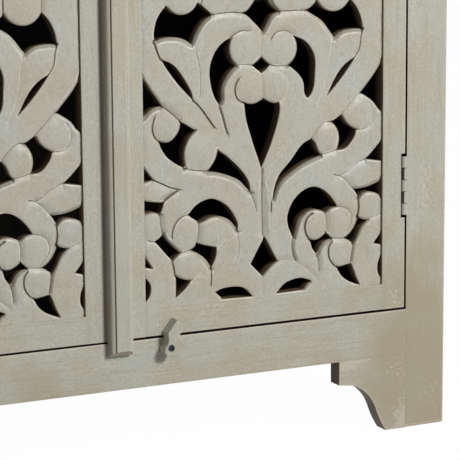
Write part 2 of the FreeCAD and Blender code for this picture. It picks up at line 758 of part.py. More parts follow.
# Openings over the middle line, to the right of it positive
MIDDLE_OPENINGS = [
    [
        [(-5.5, 26), (3, 34.5), (9.5, 39.6)],
        [(15, 43), (8, 55)],
        [(-2.5, 75), (-12.5, 59)],
        [(-21.8, 42.6), (-13.5, 34)],
    ],
    [
        [(-4.5, 158.6), (4.5, 177), (13, 198), (19, 217), (21, 229)],
        [(20, 237.5), (11.5, 236.2), (4, 238.6)],
        [(-3.8, 242.4), (-10.4, 239.2), (-18, 237), (-23, 237.4)],
        [(-28.8, 239), (-28.4, 231), (-27.4, 223), (-25, 212.6), (-20.8, 199.4), (-16.4, 185.6), (-11, 171)],
    ],
    [
        [(-5.6, 273), (0.5, 277.5)],
        [(6, 282.4), (0.5, 287)],
        [(-5.8, 293), (-12, 287.6)],
        [(-18.3, 283.2), (-12, 278)],
    ],
]
# Star on the line where two half motifs meet: the edges of its lower half, from right to left
STAR = [
    [(4.5, MOTIF_HALF_HEIGHT), (5.5, 360), (9.5, 352.5)],
    [(18, 345.7), (10, 343), (3.4, 335)],
    [(-4, 322.4), (-10.2, 329), (-17.8, 336.4), (-24, 342)],
    [(-30.9, 345.8), (-24, 349), (-17.8, 354.5), (-12.6, 360)],
    [(-9.5, MOTIF_HALF_HEIGHT)],
]


def full_edges(runs, closed):
    """Edges with both ends: each run goes on to the first point of the next one."""
    following = runs[1:] + runs[:1] if closed else runs[1:]
    return [run + [after[0]] for run, after in zip(runs, following)]


def reflect(edges, turn):
    """The same edges seen in a mirror, walked the other way round."""
    return [[turn(u, w) for u, w in reversed(edge)] for edge in reversed(edges)]


def across(u, w):
    """Mirror in the middle line."""
    return (-u, w)


def over(u, w):
    """Mirror in the line where two half motifs meet."""
    return (u, 2 * MOTIF_HALF_HEIGHT - w)


def motif():
    """All openings of one whole motif, as rings of edges."""
    rings = [full_edges(runs, True) for runs in RIGHT_OPENINGS + MIDDLE_OPENINGS]
    rings += [reflect(full_edges(runs, True), across) for runs in LEFT_OPENINGS]
    rings += [reflect(ring, over) for ring in rings]
    half_star = full_edges(STAR, False)
    rings.append(half_star + reflect(half_star, over))
    return rings


panel_x, panel_end, panel_z, panel_height, front_y = measured(
    panel_x=X_PANEL, panel_end=X_PANEL_END, panel_z=Z_PANEL, panel_height=PANEL_HEIGHT, front_y=Y_FRONT
)


def opening_face(ring, foot, stretch_u, stretch_w):
    """One opening as a face on the plane of the door's front."""
    middle_x = (panel_x + panel_end) / 2
    edges = []
    for edge in ring:
        points = [Vector(middle_x + u * stretch_u, front_y, foot + w * stretch_w) for u, w in edge]
        if len(points) == 2:
            edges.append(Part.makeLine(*points))
            continue
        curve = Part.BSplineCurve()
        curve.interpolate(points)
        edges.append(curve.toShape())
    return Part.Face(Part.Wire(edges))


def upright(x, z, width, height):
    """A rectangle on the plane of the door's front."""
    corners = [(x, z), (x + width, z), (x + width, z + height), (x, z + height), (x, z)]
    return Part.Face(Part.makePolygon([Vector(a, front_y, b) for a, b in corners]))


def carved_panel():
    """The pierced board, two motifs high, with the tongue that runs in the frame's grooves."""
    panel_width = panel_end - panel_x
    motif_height = (panel_height - size("panel_band")) / 2
    stretch_u = panel_width / 2 / MOTIF_HALF_WIDTH
    stretch_w = motif_height / 2 / MOTIF_HALF_HEIGHT
    feet = (panel_z, panel_z + panel_height - motif_height)
    holes = [opening_face(ring, foot, stretch_u, stretch_w) for foot in feet for ring in motif()]
    field = upright(panel_x, panel_z, panel_width, panel_height)
    carved = field.cut(holes).Faces[0].extrude(Vector(0, size("panel_thickness"), 0))
    carved.translate(Vector(0, size("panel_setback"), 0))
    depth = size("tongue_depth")
    wide = upright(panel_x - depth, panel_z - depth, panel_width + 2 * depth, panel_height + 2 * depth)
    tongue = wide.cut(field).extrude(Vector(0, size("tongue_thickness"), 0))
    tongue.translate(Vector(0, size("tongue_inset"), 0))
    return carved.fuse(tongue).removeSplitter()


# Both doors' panels were cut to the same pattern, so the left one isn't mirrored
for hand, shift in (("right", 0), ("left", -panel_x - panel_end)):
    panel = doc.addObject("Part::Feature", f"carved_panel_{hand}")
    panel.Shape = carved_panel().Solids[0].translated(Vector(shift, 0, 0))
    node(panel)

# Astragal on the right door: a moulded strip with rounded shoulders and a flat bead, sloped off at its ends,
# clear of the left door
astragal = doc.addObject("PartDesign::Body", "astragal_body")
ASTRAGAL_LENGTH = f"({DOOR_HEIGHT} + 2 * astragal_hang)"
astragal.Placement = Placement(Vector(), TOWARDS_FRONT)
X_ASTRAGAL = "(astragal_offset - astragal_width / 2)"
place(astragal, X_ASTRAGAL, f"{Y_FRONT} - astragal_gap", f"{Z_DOOR} - astragal_hang")
base_outline = rectangle(astragal, "astragal_outline", "astragal_width", ASTRAGAL_LENGTH)
base_pad = pad(astragal, "astragal_base", base_outline, "astragal_depth")
doc.recompute()
base_front = size("astragal_depth")


def long_front_edge(middle, box):
    """Whether an edge runs up the front of the strip's base."""
    return abs(middle.z - base_front) < NEAR and box.YLength > size("bead_width") + size("astragal_width")


round_over(astragal, "astragal_shoulders", base_pad, long_front_edge, "astragal_round")
bead_outline = rectangle(
    astragal, "bead_outline", "bead_width", ASTRAGAL_LENGTH, "(astragal_width - bead_width) / 2", "0"
)
bead_pad = pad(astragal, "astragal_bead", bead_outline, "astragal_depth + bead_depth")
doc.recompute()
bead_front = base_front + size("bead_depth")
slope_off(
    astragal,
    "astragal_bead_ends",
    bead_pad,
    lambda middle, box: abs(middle.z - bead_front) < NEAR and box.YLength < NEAR,
    "bead_end_slope",
)
glue_outline = rectangle(
    astragal,
    "glue_outline",
    f"astragal_width + {X_ASTRAGAL} - {X_MEETING}",
    DOOR_HEIGHT,
    f"{X_MEETING} - {X_ASTRAGAL}",
    "astragal_hang",
)
glue = pad(astragal, "astragal_glue_face", glue_outline, "astragal_gap")
glue.Reversed = True
astragal.Tip = glue

# Turned knob with a tenon glued into the astragal
knob = node(doc.addObject("PartDesign::Body", "door_knob"))
Y_BEAD = f"({Y_FRONT} - astragal_gap - astragal_depth - bead_depth)"
knob.Placement = Placement(Vector(), Rotation(Vector(1, 0, 0), 180))
place(knob, "astragal_offset", Y_BEAD, "knob_height")


def knob_profile():
    """Half section of the knob: radius across, length away from the door upward."""
    tenon, tenon_end = size("knob_tenon_radius"), -size("knob_tenon_length")
    neck, ball, length = size("knob_neck_radius"), size("knob_radius"), size("knob_length")
    waist, belly, face = length * 0.3, length * 0.62, ball * 0.45
    return [
        ((0, tenon_end), (tenon, tenon_end)),
        ((tenon, tenon_end), (tenon, 0)),
        ((tenon, 0), (neck, 0)),
        ((neck, 0), (neck, waist)),
        ((neck, waist), (neck + (ball - neck) * 0.75, waist + (belly - waist) * 0.35), (ball, belly)),
        ((ball, belly), (ball * 0.86, length - (length - belly) * 0.36), (face, length)),
        ((face, length), (0, length)),
        ((0, length), (0, tenon_end)),
    ]


knob_sketch = sketch_on_base(knob, "knob_profile")
draw(knob_sketch, knob_profile())
knob_turned = knob.newObject("PartDesign::Revolution", "knob_turned")
knob_turned.Profile = knob_sketch
knob_turned.ReferenceAxis = (knob_sketch, ["V_Axis"])
knob_turned.Angle = 360
tenon_hole = rod(
    "knob_tenon_hole",
    "knob_tenon_radius",
    "knob_tenon_length",
    ("astragal_offset", f"{Y_BEAD} + knob_tenon_length", "knob_height"),
    TOWARDS_FRONT,
)
node(cut("astragal", astragal, tenon_hole))

# Turn button: a tapering arm on a round boss, turning on a sunk screw over a washer
BUTTON_Z = f"({Z_RAIL} - button_drop)"
Y_BUTTON = f"({Y_FRONT} - washer_thickness - button_play)"
BUTTON_AT = ("button_across", Y_BUTTON, BUTTON_Z)
WASHER_AT = ("button_across", Y_FRONT, BUTTON_Z)
Y_SCREW_HEAD = f"({Y_BUTTON} - button_thickness + button_screw_sink)"
screw_shank = rod(
    "button_screw_shank",
    "button_screw_radius",
    f"{Y_FRONT} + button_screw_bite - {Y_SCREW_HEAD}",
    ("button_across", f"{Y_FRONT} + button_screw_bite", BUTTON_Z),
    TOWARDS_FRONT,
)
screw_head = rod(
    "button_screw_cap",
    "button_screw_head",
    "button_screw_sink / 2",
    ("button_across", Y_SCREW_HEAD, BUTTON_Z),
    TOWARDS_FRONT,
)
button_screw = node(fuse("turn_button_screw", [screw_shank, screw_head]))
washer_blank = rod("washer_blank", "washer_radius", "washer_thickness", WASHER_AT, TOWARDS_FRONT)
node(cut("turn_button_washer", washer_blank, button_screw))
rail_blank = board(
    "face_rail_bottom_blank",
    (f"2 * {X_OPENING}", "frame_thickness", "bottom_rail_height"),
    (f"-{X_OPENING}", Y_FRONT, "foot_height"),
)
node(cut("face_rail_bottom", rail_blank, button_screw))


def button_outline():
    """Outline of the button seen from the front, its pivot at the origin."""
    boss = size("button_boss_radius")
    shares = (0.9962, 0.0872), (-0.173, -0.985), (-0.469, 0.883)
    right, below, left = ((-1.0 + across * boss, -2.8 + up * boss) for across, up in shares)
    neck_left, shoulder, tip_left = (-2.9, 10.5), (-4.1, 18.4), (8.1, 33.4)
    tip_right, neck_right = (18.4, 26.3), (5.7, 6.8)
    corners = [left, neck_left, shoulder, tip_left, tip_right, neck_right, right]
    return [(right, below, left), *zip(corners, corners[1:])]


button = node(doc.addObject("PartDesign::Body", "turn_button"))
button.Placement = Placement(Vector(), TOWARDS_FRONT)
place(button, *BUTTON_AT)


def add_circle(sketch, radius):
    """A circle about the origin of a sketch."""
    sketch.addGeometry(Part.Circle(Vector(), Vector(0, 0, 1), radius), False)


button_sketch = sketch_on_base(button, "button_outline")
draw(button_sketch, button_outline())
add_circle(button_sketch, size("button_screw_radius") + size("button_play"))
pad(button, "button_pad", button_sketch, "button_thickness")
sink_sketch = sketch_on_base(button, "button_sink_outline")
add_circle(sink_sketch, size("button_screw_head") + size("button_play"))
bind(sink_sketch, "AttachmentOffset.Base.z", "button_thickness")
button_sink = button.newObject("PartDesign::Pocket", "button_sink")
button_sink.Profile = sink_sketch
bind(button_sink, "Length", "button_screw_sink + button_play")
doc.recompute()
button_front = size("button_thickness")
round_over(
    button,
    "button_edges",
    button_sink,
    lambda middle, box: abs(middle.z - button_front) < NEAR and middle.Length > button_front + NEAR,
    "button_edge_radius",
)

doc.recompute()
for item in doc.Objects:
    if {"Invalid", "Error"} & set(item.State):
        raise RuntimeError(f"{item.Label} failed: {item.State}")
for item in nodes:
    if item.Shape.isNull() or not item.Shape.isValid():
        raise RuntimeError(f"{item.Label} has no valid shape")

os.makedirs("parts", exist_ok=True)
for item in nodes:
    item.Shape.exportStep(f"parts/{item.Label}.step")
    solids = len(item.Shape.Solids)
    print(f"{item.Label}: {solids} solid(s), {item.Shape.Volume / 1000:.1f} cm3")
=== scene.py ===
"""Looks of a tall cabinet of painted wood with two pierced and carved doors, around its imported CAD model."""
import logging
import math
from collections.abc import Iterable, Sequence
from dataclasses import dataclass, field, replace
from enum import Enum

import bmesh
import bpy
import numpy as np
from bpy.types import ID, Material, Mesh, Node, NodeSocket, NodeTree, Object
from mathutils import Matrix, Vector, noise
from mathutils.geometry import delaunay_2d_cdt


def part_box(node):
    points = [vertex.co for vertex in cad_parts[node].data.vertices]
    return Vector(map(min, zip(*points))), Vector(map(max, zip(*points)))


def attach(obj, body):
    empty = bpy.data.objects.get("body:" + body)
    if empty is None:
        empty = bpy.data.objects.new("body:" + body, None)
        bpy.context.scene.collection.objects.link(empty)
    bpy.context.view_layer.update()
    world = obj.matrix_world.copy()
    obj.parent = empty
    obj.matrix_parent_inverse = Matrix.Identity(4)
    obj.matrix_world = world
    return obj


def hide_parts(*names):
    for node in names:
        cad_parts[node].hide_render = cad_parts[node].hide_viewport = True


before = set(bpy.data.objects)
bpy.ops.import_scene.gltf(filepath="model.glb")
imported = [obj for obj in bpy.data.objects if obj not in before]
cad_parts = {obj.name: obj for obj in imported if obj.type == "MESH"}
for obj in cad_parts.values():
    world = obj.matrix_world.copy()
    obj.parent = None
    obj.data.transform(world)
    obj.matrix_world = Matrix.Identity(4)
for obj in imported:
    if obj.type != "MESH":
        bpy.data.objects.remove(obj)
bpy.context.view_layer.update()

LOG = logging.getLogger("cabinet")
MM = 0.001
SHARP_ANGLE = math.radians(36)
# In millimetres: points nearer than this are one, an arris that is left sharp, the least arris that shows wear,
# and a distance at which a carved line no longer tells
WELD = 0.004
TINY = 0.02
EASED = 0.4
FAR = 20.0
# A length that keeps a division from failing, and the sine of a turn that counts as straight
SPECK = 1e-9
STRAIGHT = 0.05
SHARP = (TINY,) * 4
SHARP_ENDS = (TINY, TINY)
Point2 = tuple[float, float]
Point3 = tuple[float, float, float]
Run = list[Point2]


class Axis(Enum):
    """A direction of the cabinet's frame."""

    X = 0
    Y = 1
    Z = 2


class Hand(Enum):
    """Which side of the cabinet a piece is on, seen from the front."""

    LEFT = -1
    RIGHT = 1

    @property
    def word(self) -> str:
        """The hand as it stands in node names."""
        return self.name.lower()


# Finishes

# The Mix node's colour sockets
UNDER, OVER, MIXED = 6, 7, 2


def linear(hex_code: str) -> tuple[float, float, float, float]:
    """Turn an sRGB hex colour into linear light.

    Args:
        hex_code: colour as "#RRGGBB".

    Returns:
        Red, green, blue and a full alpha.
    """
    shares = [int(hex_code[i : i + 2], 16) / 255 for i in (1, 3, 5)]
    lights = [c / 12.92 if c <= 0.04045 else ((c + 0.055) / 1.055) ** 2.4 for c in shares]
    return (*lights, 1.0)


def add(tree: NodeTree, kind: str, inputs: dict | None = None, **settings) -> Node:
    """Add a node with its settings, values and links.

    Args:
        tree: shader or geometry tree.
        kind: Blender's name of the node type.
        inputs: values, sockets or lists of sockets, by the input's name or index.
        settings: properties of the node.

    Returns:
        The new node.
    """
    node = tree.nodes.new(kind)
    for key, value in settings.items():
        setattr(node, key, value)
    for key, value in (inputs or {}).items():
        for item in value if isinstance(value, list) else [value]:
            if isinstance(item, NodeSocket):
                tree.links.new(item, node.inputs[key])
            else:
                node.inputs[key].default_value = item
    return node


def seen_directly(tree: NodeTree) -> NodeSocket:
    """Tell rays of the camera and of mirrors and glass from the light that falls on things.

    Args:
        tree: the tree of a material or a world.

    Returns:
        A socket that is one for those rays and nothing for others.
    """
    path = add(tree, "ShaderNodeLightPath").outputs
    seen = path["Is Camera Ray"]
    for other in ("Is Glossy Ray", "Is Transmission Ray"):
        seen = add(tree, "ShaderNodeMath", {0: seen, 1: path[other]}, operation="MAXIMUM").outputs[0]
    return seen


@dataclass(frozen=True)
class Layer:
    """One coat of colour, laid on where a field lies between two values."""

    colour: str
    field: str
    start: float
    full: float
    strength: float


@dataclass(frozen=True)
class Finish:
    """A material of the cabinet, made once and shared by its pieces."""

    name: str

    def material(self) -> Material:
        """Find the Blender material, or build it.

        Returns:
            The material, built the first time.
        """
        found = bpy.data.materials.get(self.name)
        if found:
            return found
        material = bpy.data.materials.new(self.name)
        material.use_nodes = True
        self.build(material.node_tree, material.node_tree.nodes["Principled BSDF"])
        return material

    def build(self, tree: NodeTree, shader: Node) -> None:
        """Wire the finish into the shader."""
        raise NotImplementedError


@dataclass(frozen=True)
class Wood(Finish):
    """Hardwood whose colour comes from fields that run along its grain, coat over coat."""

    grain: Axis = Axis.Z
    ground: str = "#B4B4A6"
    layers: tuple[Layer, ...] = ()
    roughness: tuple[float, float] = (0.5, 0.68)
    brushed: str = "stroke"
    relief_mm: float = 0.12
    smudges: tuple[tuple[float, float, float, float], ...] = ()
    # Place across and half width in millimetres of a painted shadow line, where there is one
    seat: tuple[float, float] | None = None

    # Each field of noise: width across the grain and length along it in millimetres, and detail. The grit of
    # the chalky paint is drawn twice as coarse as it is, so that it shows.
    FIELDS = {
        "stroke": (2.4, 60.0, 3.0),
        "band": (17.0, 150.0, 2.0),
        "blotch": (62.0, 62.0, 3.0),
        "fleck": (2.2, 5.0, 1.0),
        "cluster": (38.0, 70.0, 1.0),
        "rub": (4.5, 6.5, 3.0),
        "grit": (1.5, 2.2, 2.0),
        "run": (11.0, 15.0, 2.0),
    }
    # How far apart the fields lie in the noise, and how much the rub, a smudge and the grit weigh
    FIELD_SHIFT = 3.7
    RUB, SMUDGE, GRIT = 1.1, 0.9, 0.4
    # Share of a painted shadow line's half width that is fully dark
    SEAT_CORE = 0.2
    STROKES = (0.3, 0.7)
    BUMP = 0.8
    IOR = 1.45

    def pattern(self, tree: NodeTree, coords: NodeSocket, name: str) -> NodeSocket:
        """A field of noise, drawn out along the grain.

        Args:
            tree: the material's tree.
            coords: the object coordinates.
            name: which of the fields.

        Returns:
            A socket with its value.
        """
        across, along, detail = self.FIELDS[name]
        scale = [1 / (across * MM)] * 3
        scale[self.grain.value] = 1 / (along * MM)
        offset = (self.FIELD_SHIFT * (list(self.FIELDS).index(name) + 1),) * 3
        place = add(tree, "ShaderNodeMapping", {"Vector": coords, "Location": offset, "Scale": tuple(scale)})
        made = add(tree, "ShaderNodeTexNoise", {0: place.outputs[0], "Scale": 1.0, "Detail": detail})
        return made.outputs[0]

    def fields(self, tree: NodeTree, coords: NodeSocket) -> dict[str, NodeSocket]:
        """All that a coat can follow, by name.

        Args:
            tree: the material's tree.
            coords: the object coordinates.

        Returns:
            Sockets with the value of each field.
        """
        made = {name: self.pattern(tree, coords, name) for name in self.FIELDS}
        for name in ("wear", "shade", "depth"):
            made[name] = add(tree, "ShaderNodeAttribute", attribute_name=name).outputs["Fac"]
        pairs = {0: made["fleck"], 1: made["cluster"]}
        made["flecks"] = add(tree, "ShaderNodeMath", pairs, operation="MULTIPLY").outputs[0]
        rubbed = {0: made["rub"], 1: self.RUB, 2: made["wear"]}
        made["rubbed"] = add(tree, "ShaderNodeMath", rubbed, operation="MULTIPLY_ADD").outputs[0]
        made["smudge"] = made["blotch"]
        for x, y, z, radius in self.smudges:
            away = {0: coords, 1: (x * MM, y * MM, z * MM)}
            distance = add(tree, "ShaderNodeVectorMath", away, operation="DISTANCE").outputs["Value"]
            reach = {0: distance, 1: radius * MM, 2: 0.0, 3: 0.0, 4: self.SMUDGE}
            both = {0: made["smudge"], 1: add(tree, "ShaderNodeMapRange", reach).outputs[0]}
            made["smudge"] = add(tree, "ShaderNodeMath", both, operation="ADD").outputs[0]
        # Painted shadow line: dark near a place across
        if self.seat:
            place, reach = (value * MM for value in self.seat)
            across = add(tree, "ShaderNodeSeparateXYZ", {0: coords}).outputs[0]
            moved = add(tree, "ShaderNodeMath", {0: across, 1: place}, operation="SUBTRACT").outputs[0]
            away = add(tree, "ShaderNodeMath", {0: moved}, operation="ABSOLUTE").outputs[0]
            near = {0: away, 1: reach, 2: self.SEAT_CORE * reach}
            made["seat"] = add(tree, "ShaderNodeMapRange", near).outputs[0]
        return made

    def build(self, tree: NodeTree, shader: Node) -> None:
        """Lay the coats over the ground colour, then set the gloss and the brush relief.

        Args:
            tree: the material's tree.
            shader: its surface shader.
        """
        coords = add(tree, "ShaderNodeTexCoord").outputs["Object"]
        fields = self.fields(tree, coords)
        colour = linear(self.ground)
        for layer in self.layers:
            reach = {0: fields[layer.field], 1: layer.start, 2: layer.full, 3: 0.0, 4: layer.strength}
            mask = add(tree, "ShaderNodeMapRange", reach).outputs[0]
            coat = {0: mask, UNDER: colour, OVER: linear(layer.colour)}
            colour = add(tree, "ShaderNodeMix", coat, data_type="RGBA").outputs[MIXED]
        tree.links.new(colour, shader.inputs["Base Color"])
        (low, high), (smooth, rough) = self.STROKES, self.roughness
        gloss = {0: fields["stroke"], 1: low, 2: high, 3: smooth, 4: rough}
        tree.links.new(add(tree, "ShaderNodeMapRange", gloss).outputs[0], shader.inputs["Roughness"])
        both = {0: fields["grit"], 1: self.GRIT, 2: fields[self.brushed]}
        relief = add(tree, "ShaderNodeMath", both, operation="MULTIPLY_ADD").outputs[0]
        height = {"Height": relief, "Strength": self.BUMP, "Distance": self.relief_mm * MM}
        tree.links.new(add(tree, "ShaderNodeBump", height).outputs[0], shader.inputs["Normal"])
        shader.inputs["IOR"].default_value = self.IOR


@dataclass(frozen=True)
class CarvedWood(Wood):
    """Carved hardwood with broken lines along its ridges, grooves and sawn lips, which attributes place."""

    # Each line: the attribute it follows, an offset, the noise that breaks it up and by how many millimetres
    LINES = {
        "ridge_line": ("ridge", -0.2, "run", 4.0),
        "crest_line": ("ridge", 0.5, "rub", 4.0),
        "lip_line": ("lip", 0.0, "run", 3.0),
        "groove_line": ("groove", 0.0, "grit", 2.0),
    }

    def fields(self, tree: NodeTree, coords: NodeSocket) -> dict[str, NodeSocket]:
        """The fields of plain wood, and how near each line is, less its noise.

        Args:
            tree: the material's tree.
            coords: the object coordinates.

        Returns:
            Sockets with the value of each field.
        """
        made = super().fields(tree, coords)
        for name, (attribute, offset, patch, spread) in self.LINES.items():
            value = add(tree, "ShaderNodeAttribute", attribute_name=attribute).outputs["Fac"]
            moved = add(tree, "ShaderNodeMath", {0: value, 1: offset}, operation="ADD").outputs[0]
            away = add(tree, "ShaderNodeMath", {0: moved}, operation="ABSOLUTE").outputs[0]
            less = {0: made[patch], 1: -spread, 2: away}
            made[name] = add(tree, "ShaderNodeMath", less, operation="MULTIPLY_ADD").outputs[0]
        return made


# Painted shade in brown where the shade attribute is high: in the grooves, along the panel's border, on the
# astragal's side away from the key lamp and behind it; the bevels below their ridges are darkened too. Then the
# sawn sides by depth: thin paint near the front and unpainted brown wood, then a dark that is painted shade
# deep in the openings.
CUTS = (
    Layer("#62533F", "shade", 0.25, 1.0, 0.85),
    Layer("#8C806C", "depth", 0.01, 0.04, 1.0),
    Layer("#675842", "depth", 0.06, 0.24, 1.0),
    Layer("#382C1F", "depth", 0.5, 1.0, 0.9),
)
# Thin chalky wash brushed on hardwood along the grain: grey-green with warm thin patches, dry pale strokes, and
# tan wood where the edges are rubbed through or hands have soiled it.
WASH = (
    Layer("#B0A68F", "blotch", 0.4, 0.66, 0.8),
    Layer("#ACB0A7", "band", 0.52, 0.74, 0.5),
    Layer("#98907C", "stroke", 0.46, 0.28, 0.35),
    Layer("#CBC8BC", "stroke", 0.56, 0.76, 0.35),
    Layer("#958D7B", "grit", 0.45, 0.24, 0.5),
    Layer("#D2CFC4", "grit", 0.56, 0.76, 0.5),
    Layer("#A6997F", "smudge", 0.78, 1.35, 0.75),
    Layer("#D2CFC3", "flecks", 0.365, 0.44, 0.4),
    Layer("#CFCABC", "rubbed", 1.0, 1.3, 0.5),
    Layer("#C0A68A", "rubbed", 1.36, 1.64, 0.6),
    *CUTS,
)
# The same wash dabbed over the carving, without long strokes, and knocked off its ridges and lips.
DABBED = (
    Layer("#B2AA96", "blotch", 0.42, 0.68, 0.8),
    Layer("#AFB3AA", "cluster", 0.5, 0.7, 0.6),
    Layer("#A39B88", "rub", 0.44, 0.25, 0.35),
    Layer("#C9C7BB", "rub", 0.58, 0.78, 0.35),
    Layer("#958D7C", "grit", 0.44, 0.22, 0.5),
    Layer("#D5D2C8", "grit", 0.56, 0.76, 0.5),
    Layer("#A0927A", "run", 0.58, 0.74, 0.3),
    Layer("#DCDAD0", "flecks", 0.36, 0.45, 0.3),
    Layer("#C9C4B5", "rubbed", 0.95, 1.3, 0.5),
    Layer("#BDA385", "rubbed", 1.4, 1.7, 0.5),
    Layer("#DEDBD1", "ridge_line", -1.5, -2.4, 0.8),
    Layer("#B2946E", "crest_line", -1.9, -2.6, 0.55),
    # A brown line round the lips of the openings: partly worn paint, partly painted shade
    Layer("#84725A", "lip_line", -0.9, -1.8, 0.5),
    # Painted shade: a dark line down the grooves
    Layer("#5E4E3B", "groove_line", -0.3, -0.95, 0.8),
    *CUTS,
)
# Near-black stain wiped on the inside, with the grain just showing through; its dark is also painted shade,
# inside the cabinet and on the edges where the doors shut.
STAIN_AND_SHADE_COATS = (
    Layer("#241D17", "band", 0.45, 0.7, 0.7),
    Layer("#0B0907", "stroke", 0.5, 0.3, 0.8),
    Layer("#2F271F", "rubbed", 1.2, 1.7, 0.6),
)
# Painted shadow: the astragal's cast shadow, laid as a dark line on the left door beside it.
ASTRAGAL_SHADOW = Layer("#3A3026", "seat", 0.0, 1.0, 0.7)


@dataclass(frozen=True)
class Steel(Finish):
    """Mild steel, painted over or blackened, dark where an attribute says so: unpainted metal on the hinge
    knuckles, and painted shade in the screw slots and on the strips round the knuckles.
    """

    coat: str = "#BFBCAF"
    bare: str = "#2B1C10"
    metallic: float = 0.0
    roughness: float = 0.42
    grit_mm: float = 1.6

    # How ragged the edge of the unpainted metal and painted shade is, where it begins and is full, and the
    # coat's darkest share
    RAGGED = 0.3
    BARE_SPAN = (0.55, 0.75)
    DULL = 0.8
    BUMP, BUMP_MM = 0.5, 0.08

    def build(self, tree: NodeTree, shader: Node) -> None:
        """Mix the coat and the bare metal, both a little uneven.

        Args:
            tree: the material's tree.
            shader: its surface shader.
        """
        coords = add(tree, "ShaderNodeTexCoord").outputs["Object"]
        noisy = {0: coords, "Scale": 1 / (self.grit_mm * MM), "Detail": 3.0}
        grit = add(tree, "ShaderNodeTexNoise", noisy).outputs[0]
        bare = add(tree, "ShaderNodeAttribute", attribute_name="bare").outputs["Fac"]
        rough = {0: grit, 1: self.RAGGED, 2: bare}
        edge = add(tree, "ShaderNodeMath", rough, operation="MULTIPLY_ADD").outputs[0]
        mask = add(tree, "ShaderNodeMapRange", {0: edge, 1: self.BARE_SPAN[0], 2: self.BARE_SPAN[1]}).outputs[0]
        *coat, alpha = linear(self.coat)
        dull = {0: grit, UNDER: (*coat, alpha), OVER: (*(self.DULL * c for c in coat), alpha)}
        paint = add(tree, "ShaderNodeMix", dull, data_type="RGBA").outputs[MIXED]
        both = {0: mask, UNDER: paint, OVER: linear(self.bare)}
        mixed = add(tree, "ShaderNodeMix", both, data_type="RGBA").outputs[MIXED]
        tree.links.new(mixed, shader.inputs["Base Color"])
        bump = {"Height": grit, "Strength": self.BUMP, "Distance": self.BUMP_MM * MM}
        tree.links.new(add(tree, "ShaderNodeBump", bump).outputs[0], shader.inputs["Normal"])
        shader.inputs["Metallic"].default_value = self.metallic
        shader.inputs["Roughness"].default_value = self.roughness


@dataclass(frozen=True)
class StudioWhite(Finish):
    """Seamless white paper: white to the eye, with a faint shadow left on it."""

    shown: float = 0.985
    grey: str = "#B4B4B2"
    roughness: float = 0.9

    def build(self, tree: NodeTree, shader: Node) -> None:
        """Show plain white to the camera and to reflections, and take light as grey paper does.

        Args:
            tree: the material's tree.
            shader: its surface shader.
        """
        shader.inputs["Base Color"].default_value = linear(self.grey)
        shader.inputs["Roughness"].default_value = self.roughness
        glow = add(tree, "ShaderNodeEmission", {"Color": (1, 1, 1, 1), "Strength": 1.0})
        bright = add(tree, "ShaderNodeBsdfDiffuse", {"Color": (1, 1, 1, 1)})
        faint = add(tree, "ShaderNodeMixShader", {0: self.shown, 1: bright.outputs[0], 2: glow.outputs[0]})
        ways = {0: seen_directly(tree), 1: shader.outputs[0], 2: faint.outputs[0]}
        mixed = add(tree, "ShaderNodeMixShader", ways)
        tree.links.new(mixed.outputs[0], tree.nodes["Material Output"].inputs["Surface"])


# Where hands and feet have soiled the frame: place and reach in millimetres
SOILED = ((410.0, -200.0, 135.0, 185.0), (434.0, -200.0, 50.0, 130.0), (-100.0, -200.0, 100.0, 75.0))
PAINT = {
    axis: Wood(f"washed_paint_on_hardwood_grain_{axis.name}", axis, layers=WASH, smudges=SOILED)
    for axis in Axis
}
# The left door's meeting stile, with thinner warm patches and the astragal's painted shadow line; the last pair
# is that line's place and half width.
SHADOW_LINED_WASH = Wood(
    "washed_paint_with_dirt_line",
    layers=(Layer("#B0A68F", "blotch", 0.5, 0.78, 0.6), *WASH[1:], ASTRAGAL_SHADOW),
    smudges=SOILED,
    seat=(-14.8, 3.4),
)
CARVED = CarvedWood(
    "washed_paint_on_carved_hardwood", Axis.Z, "#B7B6A9", DABBED, (0.36, 0.5), brushed="rub", relief_mm=0.22
)
DARK_STAIN_AND_SHADE = {
    axis: Wood(f"black_stained_hardwood_grain_{axis.name}", axis, "#17120E", STAIN_AND_SHADE_COATS, (0.55, 0.75))
    for axis in Axis
}
HINGE_PAINT = Steel("painted_mild_steel")
BLACK_STEEL = Steel("blackened_steel", "#1C1B1A", "#0E0D0C", 1.0, 0.45)
SCREW_STEEL = Steel("dull_screw_steel", "#33363A", "#0B0A09", 0.5, 0.5)
NAIL_STEEL = Steel("browned_nail_steel", "#4A3A2E", "#2A1D15", 0.6, 0.6)
PAPER = StudioWhite("white_studio_paper")


# Mesh tools


def linked(name: str, data: ID) -> Object:
    """Make an object and link it to the scene.

    Args:
        name: its name.
        data: its mesh, lamp or camera.

    Returns:
        The object.
    """
    made = bpy.data.objects.new(name, data)
    bpy.context.scene.collection.objects.link(made)
    return made


